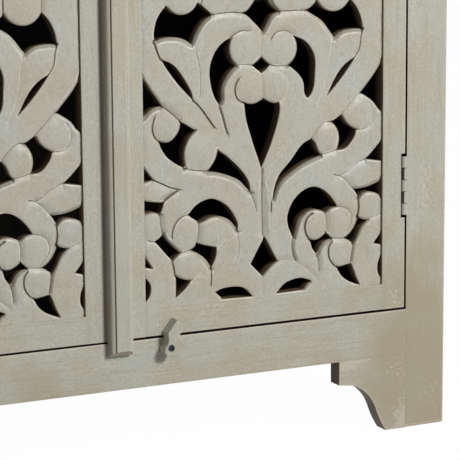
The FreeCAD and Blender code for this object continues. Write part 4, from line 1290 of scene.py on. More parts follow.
LEFT_GROOVES = (
    Groove(2.2, 6, (107, 86), ((104, 109.4), (112.8, 107), (120.2, 99.5), (124, 90.8), (124.6, 83.2))),
    Groove(3.2, 7, (107, 86), ((90.2, 98), (90.2, 87), (93.4, 74.8))),
    Groove(0.9, 5, (74, 86), ((55, 77), (60, 72), (66.9, 67.6))),
    Groove(2.0, 5, (107, 86), ((101.5, 67), (107.8, 65.8), (114.2, 64.5))),
    Groove(1.0, 5, (110, 47), ((86.5, 39.5), (94, 34.5), (100.6, 30.1))),
    Groove(2.6, 5, (110, 47), ((125, 55.6), (122.8, 47), (121.3, 37))),
    Groove(2.0, 5, (60, 40), ((74.6, 42.6), (73.4, 34), (74.5, 22))),
    Groove(3.0, 12, (125, 165), ((114, 140.8), (126.5, 144.5), (137.8, 150), (148.4, 154.8))),
    Groove(4.2, 7, (150, 110), ((115.9, 138.9), (126.5, 133.5), (135.2, 127))),
    Groove(4.2, 7, (150, 99), ((140.4, 113.4), (139.6, 104), (138.6, 96), (136.5, 88.9))),
    Groove(2.2, 6, (150, 99), ((136.5, 88.9), (142.8, 83.2), (149, 81.4), (155.2, 83.2))),
    Groove(2.4, 6, (130, 214), ((144.6, 228.2), (147.8, 219.5), (147.8, 210.8), (144, 203.2), (140.8, 199.8))),
    Groove(3.4, 7, (130, 214), ((136.5, 241.4), (124, 232), (113.4, 222.4))),
    Groove(2.0, 6, (87, 184), ((79, 159.8), (87.8, 161.4), (96.5, 162.6), (108.8, 166.4))),
    Groove(1.0, 7, (70, 290), ((91.5, 302), (87, 284.5), (86, 265.8), (87, 250.8))),
    Groove(3.4, 4, (115, 305), ((136.5, 295.8), (140.2, 304.5), (144.6, 317.2))),
    Groove(2.0, 6, (28, 304), ((21.5, 323.9), (30.2, 324.8), (39, 322), (45.9, 317.6))),
    Groove(1.4, 6, (28, 304), ((18.3, 283.2), (29, 284.5), (39.6, 283.9))),
    Groove(2.6, 6, (19, 256), ((35.2, 267.6), (39.6, 259.5), (39.6, 249.5), (35.2, 242), (28.8, 239))),
    Groove(2.6, 7, (49, 360), ((30.9, 345.8), (44, 347), (56.5, 346.4), (69.6, 345.1))),
    Groove(4.2, 3, (70, 225), ((62, 239.6), (60.6, 233), (57.8, 224.5), (55.2, 214.5), (51.5, 203.2))),
    Groove(3.4, 2.5, (70, 240), ((96, 245.8), (90.2, 241), (84, 234), (75.2, 222), (67.8, 212))),
    Groove(2.4, 5, (40, 110), ((21, 130.8), (17.6, 122), (14.4, 114), (12.6, 107))),
    Groove(1.6, 7, (49, 360), ((84, 357), (80, 367))),
    Groove(1.1, 5, (20, 60), ((39, 85.8), (37.5, 75), (37, 62), (38.5, 53))),
)
# Round eyes, discs and beads: middle, radius
RIGHT_EYES = (
    ((100, 84), 19.5),
    ((68, 83), 18.0),
    ((101, 46), 17.5),
    ((143.6, 102.6), 15.0),
    ((127, 215), 20.5),
    ((83.6, 189), 17.8),
    ((20, 303), 21.0),
    ((12, 257), 20.0),
    ((92, 367), 24.0),
    ((43, 367), 28.0),
)
LEFT_EYES = (
    ((107, 87), 18.5),
    ((74, 86), 18.0),
    ((109, 48), 17.5),
    ((151, 99), 15.5),
    ((130, 216), 17.5),
    ((87, 185), 22.5),
    ((28, 304), 20.0),
    ((19, 257), 19.5),
    ((108.5, 367), 20.5),
    ((49, 367), 30.0),
)


def mirrored(points: Iterable[Point2]) -> Run:
    """Points on the other side of the middle line."""
    return [(-u, w) for u, w in points]


def bell(distance: np.ndarray, width: float) -> np.ndarray:
    """One on a line, fading away to both sides of it."""
    return np.exp(-((distance / width) ** 2))


def beside(along: np.ndarray) -> np.ndarray:
    """Unit directions to the right of some directions."""
    aside = np.stack([along[:, 1], -along[:, 0]], axis=1)
    return aside / np.maximum(np.hypot(*aside.T), SPECK)[:, None]


def edges_of(loops: Sequence[np.ndarray]) -> np.ndarray:
    """Start and end of every straight piece of some closed loops."""
    return np.concatenate([np.stack([loop, np.roll(loop, -1, axis=0)], axis=1) for loop in loops])


@dataclass
class Carving:
    """Half of the carved motif, from its foot to the line where it is mirrored.

    Sizes are in millimetres. Edges that bulge out are bevelled, hollow ones are left crisp.
    """

    half_width: float = 160.775
    half_height: float = 367.0
    thickness: float = 19.5
    bevel_width: float = 5.4
    bevel_drop: float = 5.2
    crisp_width: float = 0.9
    eye_width: float = 2.2
    ridge_round: float = 0.12
    dome: float = 1.3
    border_width: float = 2.4
    border_drop: float = 1.3
    slide: Point2 = (0.48, -0.16)
    outline_step: float = 2.4
    field_step: float = 4.2
    gouge: float = 0.3
    gouge_span: float = 13.0
    deepest: float = 9.0

    grooves: list[Groove] = field(init=False)
    eyes: list[tuple[Point2, float]] = field(init=False)

    # What a run's bulge, as a share of its chord, is multiplied by to give its share of a bevel
    BEVEL_GAIN = 14
    # How many spots are measured at once, and the cell of the grid in which near points are looked for
    CHUNK, CELL = 1500, 4
    # How near points may come: on the border, in grooves, beside lines, and in the field as a share of its step
    BORDER_GAP, GROOVE_GAP, LINE_GAP, FIELD_GAP = 1.0, 0.8, 0.85, 0.62
    # Points beside the edges of openings, off the ridge and off the edge, and beside grooves. They stay if no
    # opening is nearer than a share of their reach and a least distance.
    RIDGE_RINGS, EDGE_RINGS, GROOVE_RINGS = (-0.4, 0.5, 2.2), (1.4, 3.0), (0.9, 2.4, 5.0)
    CLEAR_SHARE, CLEAR = 0.9, 0.7
    # Round an eye, the share of its radius (one in this many) over which the bevel narrows
    EYE_EDGE = 4
    # Wear on ridges (strength, place, width, share on crisp edges) and on the rims of eyes (width)
    RIDGE_WEAR, EYE_WEAR = (0.7, 0.2, 1.6, 0.55), 1.8
    # Shade along the border (strength) and on bevels (strength, depth below the ridge)
    BORDER_SHADE, BEVEL_SHADE = 0.55, (0.5, 1.5)
    GOUGE_SEED = 0.7
    # How a groove fades past its end, how its lower side curves, and its upper side's share of depth and width
    END_FADE, OPEN_FADE, LOW_CURVE, UPPER = 1.2, 9.0, 1.3, (0.5, 1.8)
    # An open valley's share at its start, and the gain along it
    VALLEY = (0.3, 1.4)
    # Wear along a groove's crest (strength, place, width) and in a soft one (strength, width)
    CREST_WEAR, SOFT_WEAR = (0.6, 1.3, 1.2), (0.9, 2.6)
    # Reach of a groove's shade under and over it, the depth that is fully shaded, and what counts as in it
    UNDER_SHADE, OVER_SHADE, SHADED, IN_GROOVE = 1.5, 0.5, 3.2, 0.05
    # The dark line of painted shade in a groove is held back where it is soft or shallow, and past its ends
    SOFT_BACK, SHALLOW, PAST_BACK = 3.0, 1.6, 4
    # How far from the sides and from the mirror line points are held from sliding
    SIDE_HOLD, MIRROR_HOLD = 4, 20
    # Line attributes behind the front: depth one gives the back the darkest colour of the sawn walls, the
    # painted shade deep in the openings
    BEHIND = {"depth": 1.0, "ridge": -30.0, "lip": FAR, "groove": FAR}

    def __post_init__(self) -> None:
        """Bring the two halves together."""
        turned = [replace(g, over=(-g.over[0], g.over[1]), path=tuple(mirrored(g.path))) for g in LEFT_GROOVES]
        self.grooves = [*RIGHT_GROOVES, *turned]
        self.eyes = [*RIGHT_EYES, *(((-u, w), radius) for (u, w), radius in LEFT_EYES)]

    def smooth(self, points: Sequence[Point2]) -> np.ndarray:
        """Draw a natural spline through some points.

        Args:
            points: the points that it goes through.

        Returns:
            Points an outline step apart, without the last.
        """
        knots = np.asarray(points, float)
        lengths = np.hypot(*np.diff(knots, axis=0).T)
        places = np.concatenate([[0], np.cumsum(lengths)])
        count = len(knots)
        system, bend = np.eye(count), np.zeros((count, 2))
        for i in range(1, count - 1):
            a, b = lengths[i - 1], lengths[i]
            system[i, i - 1 : i + 2] = a / 6, (a + b) / 3, b / 6
            bend[i] = (knots[i + 1] - knots[i]) / b - (knots[i] - knots[i - 1]) / a
        curve = np.linalg.solve(system, bend)
        steps = max(2, round(places[-1] / self.outline_step))
        spots = np.linspace(0, places[-1], steps, endpoint=False)
        k = np.clip(np.searchsorted(places, spots, side="right") - 1, 0, count - 2)
        h = lengths[k][:, None]
        left, right = (places[k + 1] - spots)[:, None], (spots - places[k])[:, None]
        line = knots[k] * left / h + knots[k + 1] * right / h
        sag = curve[k] * (left**3 / h - h * left) / 6 + curve[k + 1] * (right**3 / h - h * right) / 6
        return line + sag

    def outline(self, ring: list[Run], side: int) -> tuple[np.ndarray, np.ndarray]:
        """One closed opening, cut off at the panel's border.

        Args:
            ring: its runs.
            side: 1 as given, -1 for an opening measured to the left.

        Returns:
            Its points, and how much of a bevel the edge has from each point on.
        """
        runs = [self.smooth(run + [after[0]]) for run, after in zip(ring, ring[1:] + ring[:1])]
        loop = np.concatenate(runs)
        onward = np.roll(loop, -1, axis=0)
        turn = np.sign((loop[:, 0] * onward[:, 1] - loop[:, 1] * onward[:, 0]).sum())
        shares = []
        for run, after in zip(runs, runs[1:] + runs[:1]):
            chord, offset = after[0] - run[0], run - run[0]
            aside = chord[0] * offset[:, 1] - chord[1] * offset[:, 0]
            bulge = turn * aside.mean() / (chord @ chord)
            shares += [np.clip(self.BEVEL_GAIN * bulge, 0, 1)] * len(run)
        points, kept = [], []
        for a, b, share in zip(loop, onward, shares):
            before, after = a[0] - self.half_width, b[0] - self.half_width
            if before <= 0:
                points.append(a)
                kept.append(share)
            if before * after < 0:
                points.append(a + (b - a) * (self.half_width - a[0]) / (b[0] - a[0]))
                kept.append(share)
        return np.array(points) * (side, 1), np.array(kept)

    def outlines(self) -> tuple[list[np.ndarray], list[np.ndarray]]:
        """Draw all openings of the half motif.

        Returns:
            Their points, and how much of a bevel each edge has.
        """
        made = [self.outline(ring, 1) for ring in RIGHT_OPENINGS + MIDDLE_OPENINGS]
        made += [self.outline(ring, -1) for ring in LEFT_OPENINGS]
        return [loop for loop, _ in made], [shares for _, shares in made]

    def on_border(self, spots: np.ndarray) -> np.ndarray:
        """Which spots lie on the panel's border or on the mirror line."""
        u, w = np.abs(spots[:, 0]), spots[:, 1]
        return (u > self.half_width - WELD) | (w < WELD) | (w > self.half_height - WELD)

    def within(self, spots: np.ndarray, outlines: list[np.ndarray]) -> np.ndarray:
        """Which spots lie on the wood, in the half motif and in no opening.

        Args:
            spots: points.
            outlines: the openings.

        Returns:
            Whether each spot is on it.
        """
        u, w = np.abs(spots[:, 0]), spots[:, 1]
        keep = (u < self.half_width) & (w > 0) & (w < self.half_height)
        for loop in outlines:
            low, high = loop.min(axis=0), loop.max(axis=0)
            near = np.flatnonzero(((spots >= low) & (spots <= high)).all(axis=1) & keep)
            keep[near] = ~inside(spots[near], loop)
        return keep

    def nearest(self, spots: np.ndarray, lines: np.ndarray) -> tuple[np.ndarray, ...]:
        """Distance from each spot to a set of straight pieces.

        Args:
            spots: points.
            lines: start and end of each piece.

        Returns:
            The distance, the side of the nearest piece (left is positive), how far past its ends the spot is,
            and which piece it is.
        """
        start, along = lines[:, 0], lines[:, 1] - lines[:, 0]
        length2 = np.maximum((along**2).sum(axis=1), SPECK)
        parts = []
        for chunk in np.array_split(spots, max(1, len(spots) // self.CHUNK)):
            offset = chunk[:, None, :] - start[None]
            share = (offset * along).sum(axis=2) / length2
            held = np.clip(share, 0, 1)
            gap = offset - held[..., None] * along
            distance = np.hypot(gap[..., 0], gap[..., 1])
            best = distance.argmin(axis=1)
            rows = np.arange(len(chunk))
            turn = along[best, 0] * offset[rows, best, 1] - along[best, 1] * offset[rows, best, 0]
            past = np.abs(share - held)[rows, best] * np.sqrt(length2[best])
            parts.append(np.stack([distance[rows, best], np.sign(turn), past, best]))
        distance, side, past, best = np.concatenate(parts, axis=1)
        return distance, side, past, best.astype(int)

    def ridge_width(self, bevel: np.ndarray) -> np.ndarray:
        """How far the ridge lies from an edge, by its share of a bevel."""
        return self.crisp_width + (self.bevel_width - self.crisp_width) * bevel

    def spread(
        self, outlines: list[np.ndarray], bevels: list[np.ndarray], paths: list[np.ndarray]
    ) -> tuple[list[Vector], list[tuple[int, int]]]:
        """Points and fixed edges of the carved face.

        Args:
            outlines: the openings.
            bevels: how much of a bevel each of their edges has.
            paths: the grooves.

        Returns:
            Points and edges for the triangulation.
        """
        points, edges = [], []
        cells: dict[tuple[int, int], list] = {}

        def cell(spot: Sequence[float]) -> tuple[int, int]:
            """The cell of the search grid that a spot is in."""
            return int(spot[0] // self.CELL), int(spot[1] // self.CELL)

        def near(spot: Sequence[float], gap: float) -> bool:
            """Whether a point is nearer to a spot than a gap."""
            i, j = cell(spot)
            around = (cells.get((i + a, j + b), ()) for a in (-1, 0, 1) for b in (-1, 0, 1))
            spans = ((p[0] - spot[0]) ** 2 + (p[1] - spot[1]) ** 2 for found in around for p in found)
            return any(span < gap * gap for span in spans)

        def put(spot: Sequence[float]) -> int:
            """Add a point and give its index."""
            points.append(Vector((float(spot[0]), float(spot[1]))))
            cells.setdefault(cell(spot), []).append(spot)
            return len(points) - 1

        for loop in outlines:
            ring = [put(p) for p in loop]
            edges.extend(zip(ring, ring[1:] + ring[:1]))
        wide, high = self.half_width, self.half_height
        corners = [(-wide, 0), (wide, 0), (wide, high), (-wide, high)]
        lines = []
        for a, b in zip(corners, corners[1:] + corners[:1]):
            steps = round(math.dist(a, b) / self.field_step)
            lines.append(([np.add(a, np.subtract(b, a) * (i / steps)) for i in range(steps)], self.BORDER_GAP))
        for line, gap in [*lines, *((path, self.GROOVE_GAP) for path in paths)]:
            kept = [put(p) for p in line if not near(p, gap)]
            edges.extend(zip(kept, kept[1:]))
        loose, reaches = [], []
        for loop, shares in zip(outlines, bevels):
            out = beside(np.roll(loop, -1, axis=0) - np.roll(loop, 1, axis=0))
            width = self.ridge_width(shares)
            rings = [width + off for off in self.RIDGE_RINGS] + [0 * width + off for off in self.EDGE_RINGS]
            for reach in rings:
                for sign in (1, -1):
                    loose.extend(loop + sign * out * reach[:, None])
                    reaches.extend(reach)
        for groove, path in zip(self.grooves, paths):
            out = -beside(np.gradient(path, axis=0))
            for reach in (*self.GROOVE_RINGS, groove.slope):
                for sign in (1, -1):
                    loose.extend(path + sign * out * reach)
                    reaches.extend([0.0] * len(path))
        spots, reaches = np.array(loose), np.array(reaches)
        gap = self.nearest(spots, edges_of(outlines))[0]
        clear = (gap > self.CLEAR_SHARE * reaches) & (gap > self.CLEAR)
        for spot in spots[clear & self.within(spots, outlines)]:
            if not near(spot, self.LINE_GAP):
                put(spot)
        step = self.field_step
        for i, w in enumerate(np.arange(step / 2, high, step * math.sqrt(0.75))):
            for u in np.arange(step * (0.5 + 0.5 * (i % 2)) - wide, wide, step):
                if not near((u, w), self.FIELD_GAP * step):
                    put((u, w))
        return points, edges

    def forms(
        self, spots: np.ndarray, outlines: list[np.ndarray], bevels: list[np.ndarray]
    ) -> dict[str, np.ndarray]:
        """The bevels, domes and border of the carved face, before its grooves are cut.

        Args:
            spots: points of the face.
            outlines: the openings.
            bevels: how much of a bevel each of their edges has.

        Returns:
            Arrays "lean" (how far the face lies below the board's front), "ditch" (how much deeper grooves
            are), "wear", "shade", "ridge" (distance from the nearest ridge), "lip" and "groove" (distance from
            an opening and from a groove).
        """
        walls = edges_of(outlines)
        inner = ~self.on_border(walls.mean(axis=1))
        gap, _, _, closest = self.nearest(spots, walls[inner])
        bevel = np.concatenate(bevels)[inner][closest]
        eye, dome = np.ones(len(spots)), np.zeros(len(spots))
        for (u, w), radius in self.eyes:
            reach = np.hypot(spots[:, 0] - u, spots[:, 1] - w) / radius
            eye = np.minimum(eye, np.clip((reach - 1.0) * self.EYE_EDGE, 0, 1))
            dome = np.maximum(dome, np.where(reach < 1, 1.0 - reach**2, 0.0))
        eye_width = self.eye_width + (self.bevel_width - self.eye_width) * eye
        ridge = gap - np.minimum(self.ridge_width(bevel), eye_width)
        border = np.clip(1 - (self.half_width - np.abs(spots[:, 0])) / self.border_width, 0, 1)
        span = self.gouge_span
        cuts = [noise.noise(Vector((u / span, w / span, self.GOUGE_SEED))) for u, w in spots]
        lean = self.bevel_drop / self.bevel_width * (np.sqrt(ridge**2 + self.ridge_round) - ridge) / 2
        lean += self.dome * (1 - dome)
        lean += self.border_drop * border
        lean += self.gouge * (1 + np.array(cuts))
        strength, place, width, crisp = self.RIDGE_WEAR
        worn = strength * bell(ridge - place, width) * (crisp + (1 - crisp) * bevel)
        dark, below = self.BEVEL_SHADE
        return {
            "lean": lean,
            "ditch": np.zeros(len(spots)),
            "wear": np.maximum(worn, bell(gap, self.EYE_WEAR) * (1 - eye)),
            "shade": np.maximum(self.BORDER_SHADE * border, dark * bevel * np.clip(-ridge / below, 0, 1)),
            "ridge": ridge,
            "lip": gap,
            "groove": np.full(len(spots), FAR),
        }

    def cut(self, face: dict[str, np.ndarray], spots: np.ndarray, groove: Groove, path: np.ndarray) -> None:
        """Cut one groove into the carved face.

        Args:
            face: the arrays of the face, which change.
            spots: points of the face.
            groove: the groove.
            path: its smooth line.
        """
        lines = np.stack([path[:-1], path[1:]], axis=1)
        distance, turn, past, along = self.nearest(spots, lines)
        under = turn != self.nearest(np.array([groove.over], float), lines)[1][0]
        fade = np.clip(1 - past / (self.OPEN_FADE if groove.open else self.END_FADE), 0, 1)
        crest = np.full(len(spots), FAR)
        if groove.open:
            start, gain = self.VALLEY
            opened = np.clip(start + gain * along / len(lines), 0, 1)
            reach = groove.slope * opened
            low = edge = groove.depth * np.sqrt(opened) * np.clip(1 - distance / reach, 0, 1)
            if not groove.soft:
                crest = np.where(past < 1, distance - reach, FAR)
        else:
            share, upper = self.UPPER
            low = groove.depth * np.clip(1 - distance / groove.slope, 0, 1) ** self.LOW_CURVE
            edge = share * groove.depth * np.clip(1 - distance / upper, 0, 1) ** 2
            if groove.soft:
                strength, width = self.SOFT_WEAR
                worn = strength * bell(distance, width)
            else:
                strength, place, width = self.CREST_WEAR
                crest = np.where(under | (fade <= 0), FAR, distance - place)
                worn = np.where(under, 0.0, strength * bell(distance - place, width))
            face["wear"] = np.maximum(face["wear"], worn * fade)
        ditch = np.where(under | (distance < self.IN_GROOVE), low, edge) * fade
        face["ditch"] = np.maximum(face["ditch"], ditch)
        face["ridge"] = np.where(np.abs(crest) < np.abs(face["ridge"]), crest, face["ridge"])
        dark = np.exp(-distance / np.where(under, self.UNDER_SHADE, self.OVER_SHADE))
        face["shade"] = np.maximum(face["shade"], dark * fade * min(1.0, groove.depth / self.SHADED))
        back = self.SOFT_BACK if groove.soft else max(0.0, self.SHALLOW - groove.depth)
        face["groove"] = np.minimum(face["groove"], distance + self.PAST_BACK * past + back)

    def shift(self, spots: np.ndarray, lean: np.ndarray) -> np.ndarray:
        """Slide lowered points so that they show, from the photograph's side, where their form was drawn.

        Args:
            spots: points of the face.
            lean: how far each lies below the front.

        Returns:
            The moved points.
        """
        side, up = self.half_width - np.abs(spots[:, 0]), spots[:, 1]
        hold = np.clip(side / self.SIDE_HOLD, 0, 1) * np.clip(up / self.SIDE_HOLD, 0, 1)
        hold *= np.clip((self.half_height - up) / self.MIRROR_HOLD, 0, 1)
        return spots + np.outer(hold * lean, self.slide)

    def half_motif(self) -> Shell:
        """Carve the half motif.

        Returns:
            Its shell, left open along the line where it is mirrored, which is at no height.
        """
        outlines, bevels = self.outlines()
        paths = [np.vstack([self.smooth(groove.path), groove.path[-1]]) for groove in self.grooves]
        points, edges = self.spread(outlines, bevels, paths)
        found, _, triangles, *_ = delaunay_2d_cdt(points, edges, [], 0, WELD)
        spots = np.array(found, float)
        triangles = np.array([t for t in triangles if len(t) == 3])
        triangles = triangles[self.within(spots[triangles].mean(axis=1), outlines)]
        face = self.forms(spots, outlines, bevels)
        for groove, path in zip(self.grooves, paths):
            self.cut(face, spots, groove, path)
        moved = self.shift(spots, face["lean"])
        made = Shell()

        def put(places: np.ndarray, drops: Iterable[float], **marks: float | Sequence[float]) -> range:
            """Add points at drops behind the front."""
            return made.add_points([(u, d, w - self.half_height) for (u, w), d in zip(places, drops)], **marks)

        lines = {name: face[name] for name in ("wear", "shade", "ridge", "lip", "groove")}
        put(moved, np.clip(face["lean"] + face["ditch"], 0, self.deepest), depth=0.0, **lines)
        made.faces.extend(map(tuple, triangles.tolist()))
        sides = np.concatenate([triangles[:, pair] for pair in ([0, 1], [1, 2], [2, 0])])
        rims, uses = np.unique(np.sort(sides, axis=1), axis=0, return_counts=True)
        rims = rims[uses == 1]
        used = np.unique(rims)
        backs = dict(zip(used, put(moved[used], [self.thickness] * len(used), **self.BEHIND)))
        for a, b in rims:
            if spots[[a, b], 1].mean() < self.half_height - WELD:
                made.faces.append((int(a), int(b), backs[b], backs[a]))
        places = {index: i for i, index in enumerate(used)}
        fixed = [(places[a], places[b]) for a, b in rims]
        flat, _, covers, origins, *_ = delaunay_2d_cdt([Vector(spots[i]) for i in used], fixed, [], 0, WELD)
        flat = np.array(flat, float)
        covers = np.array([t for t in covers if len(t) == 3])
        covers = covers[self.within(flat[covers].mean(axis=1), outlines)]
        for i, given in enumerate(origins):
            if given:
                flat[i] = moved[used[given[0]]]
        first = put(flat, [self.thickness] * len(flat), **self.BEHIND)[0]
        made.faces.extend(tuple(first + i for i in t) for t in covers.tolist())
        return made


# Sub-assemblies


def front_plate(plate: Plate, origin: Sequence[float]) -> Shell:
    """A plate that faces the front."""
    return plate.shell(Vector(origin), Vector((1, 0, 0)), Vector((0, 0, 1)), Vector((0, 1, 0)))


def block(low: Sequence[float], high: Sequence[float]) -> Shell:
    """A plain upright strip with sharp edges."""
    return Board(Vector(low), Vector(high), Axis.Z, SHARP, SHARP_ENDS, 0.0).shell()


def outer_x(box: tuple[Vector, Vector], hand: Hand) -> float:
    """Where a box ends on the outer side of its hand."""
    return box[1].x if hand is Hand.RIGHT else box[0].x


# How nearly a face looks one way to take the dark finish
FACING = 0.92


def painted(
    shell: Shell,
    node: str,
    grain: Axis,
    body: str = "carcass",
    dark: Sequence[Point3] = (),
    finish: Finish | None = None,
) -> None:
    """Make a painted piece and fit it in the place of its CAD node.

    Args:
        shell: its shape.
        node: the CAD node that it replaces.
        grain: which way its grain runs.
        body: the body it moves with.
        dark: the ways that its dark faces look, as unit directions; on edges where doors shut that dark is
            painted shade.
        finish: its finish, where that isn't the common paint.
    """
    made = shell.mesh_object(f"painted_{node}", finish or PAINT[grain])
    if dark:
        made.data.materials.append(DARK_STAIN_AND_SHADE[grain].material())
    for face in made.data.polygons:
        if any(face.normal.dot(way) > FACING for way in dark):
            face.material_index = 1
    fit(made, body, "painted_wood", node)


def slotted_head(radius: float, thickness: float, slot: float, turn: float) -> Shell:
    """A slotted screw head about the origin, facing the front.

    Args:
        radius: its radius.
        thickness: its thickness, half of which the slot takes up.
        slot: half the slot's width.
        turn: the slot's angle in degrees.

    Returns:
        The shell, with painted shade on the floor of the slot.
    """
    steps, arris, half_way = 20, 0.15, 0.5 * thickness
    bed_arris, bed_share = 0.05, 0.98
    eased = {"support": 0.3, "steps": 1}
    edge = math.sqrt(radius**2 - slot**2)
    half = [(edge, slot), *((x, y) for x, y in circle(radius, steps) if y > slot), (-edge, slot)]
    made = Shell()
    for outline in (half, [(-x, -y) for x, y in half]):
        made.join(front_plate(Plate(outline, thickness, arris, **eased), (0, 0, 0)))
    bed = Plate(circle(radius * bed_share, steps), half_way, bed_arris, **eased)
    made.join(front_plate(bed, (0, half_way, 0)).mark("bare", 1.0))
    return made.moved(Matrix.Rotation(math.radians(turn), 4, "Y"))


@dataclass
class FaceFrame:
    """Stiles and rails round the doors, flush and painted over at the joints, dark where the doors shut: that
    dark is painted shade in the gaps.
    """

    outer_arris: float = 0.9
    inner_arris: float = 0.3
    top_arris: float = 0.5
    foot_round: float = 2.4
    wobble: float = 0.1

    def build(self) -> None:
        """Make the two stiles and the two rails."""
        outer, inner = self.outer_arris, self.inner_arris
        for hand in Hand:
            node = f"face_stile_{hand.word}"
            front = (inner, outer) if hand is Hand.RIGHT else (outer, inner)
            ends = (self.foot_round, TINY)
            stile = Board(*box_mm(node), Axis.Z, (*front, TINY, TINY), ends, self.wobble)
            painted(stile.shell(), node, Axis.Z, dark=[(-hand.value, 0, 0)])
        rails = {"bottom": ((TINY, inner, TINY, outer), 1), "top": ((self.top_arris, TINY, inner, TINY), -1)}
        for end, (arris, up) in rails.items():
            node = f"face_rail_{end}"
            rail = Board(*box_mm(node), Axis.X, arris, SHARP_ENDS, self.wobble)
            painted(rail.shell(), node, Axis.X, dark=[(0, 0, up)])


@dataclass
class Feet:
    """Ogee bracket feet along the front and the sides, with plain blocks behind them."""

    base: float = 84.0
    flat: float = 131.0
    reach: float = 151.0
    step: float = 66.0
    drop: float = 2.5
    height: float = 96.0
    arris: float = 0.9
    arc_steps: int = 14
    bare_sides: float = 0.72

    # Points of the ogee as shares of its run and its drop: the hollow, the turn of the curve and the round
    HOLLOW, TURN, ROUND = (0.397, 0.189), (0.69, 0.53), (0.82, 0.765)

    def outline(self, start: float) -> tuple[Run, list[float]]:
        """Draw a bracket from its corner along the floor.

        Args:
            start: how far from the corner it begins.

        Returns:
            Its points, and which of its edges are eased.
        """
        flat = (self.flat, self.step - self.drop)
        hollow, turn, swell = (
            (flat[0] - across * (flat[0] - self.base), flat[1] * (1 - down))
            for across, down in (self.HOLLOW, self.TURN, self.ROUND)
        )
        run = [(start, 0.0)]
        run += arc_through((self.base, 0.0), swell, turn, self.arc_steps)
        run += arc_through(turn, hollow, flat, self.arc_steps)
        run += [flat, (self.reach, self.step), (self.reach, self.height), (start, self.height)]
        return run, [1.0] * (len(run) - 2) + [0.0, 0.0]

    def build(self) -> None:
        """Make the brackets and dress the blocks."""
        up, back = Vector((0, 0, 1)), Vector((0, 1, 0))
        for hand in Hand:
            stile = box_mm(f"face_stile_{hand.word}")
            corner, front, inward = outer_x(stile, hand), stile[0].y, Vector((-hand.value, 0, 0))
            for place in ("front", "side", "rear"):
                node = f"foot_bracket_{place}_{hand.word}"
                low, high = box_mm(node)
                edge, grain, thickness = outer_x((low, high), hand), Axis.Y, high.x - low.x
                if place == "front":
                    grain, thickness = Axis.X, high.y - low.y
                    start, origin, along, into = abs(corner - edge), (corner, low.y, 0), inward, back
                elif place == "side":
                    start, origin, along, into = low.y - front, (edge, front, 0), back, inward
                else:
                    start, origin, along, into = 0.0, (edge, high.y, 0), -back, inward
                run, shares = self.outline(start)
                plate = Plate(run, thickness, self.arris, shares, bare_sides=self.bare_sides)
                painted(plate.shell(Vector(origin), along, up, into), node, grain)
            dress(DARK_STAIN_AND_SHADE[Axis.Z], f"foot_block_front_{hand.word}", f"foot_block_rear_{hand.word}")


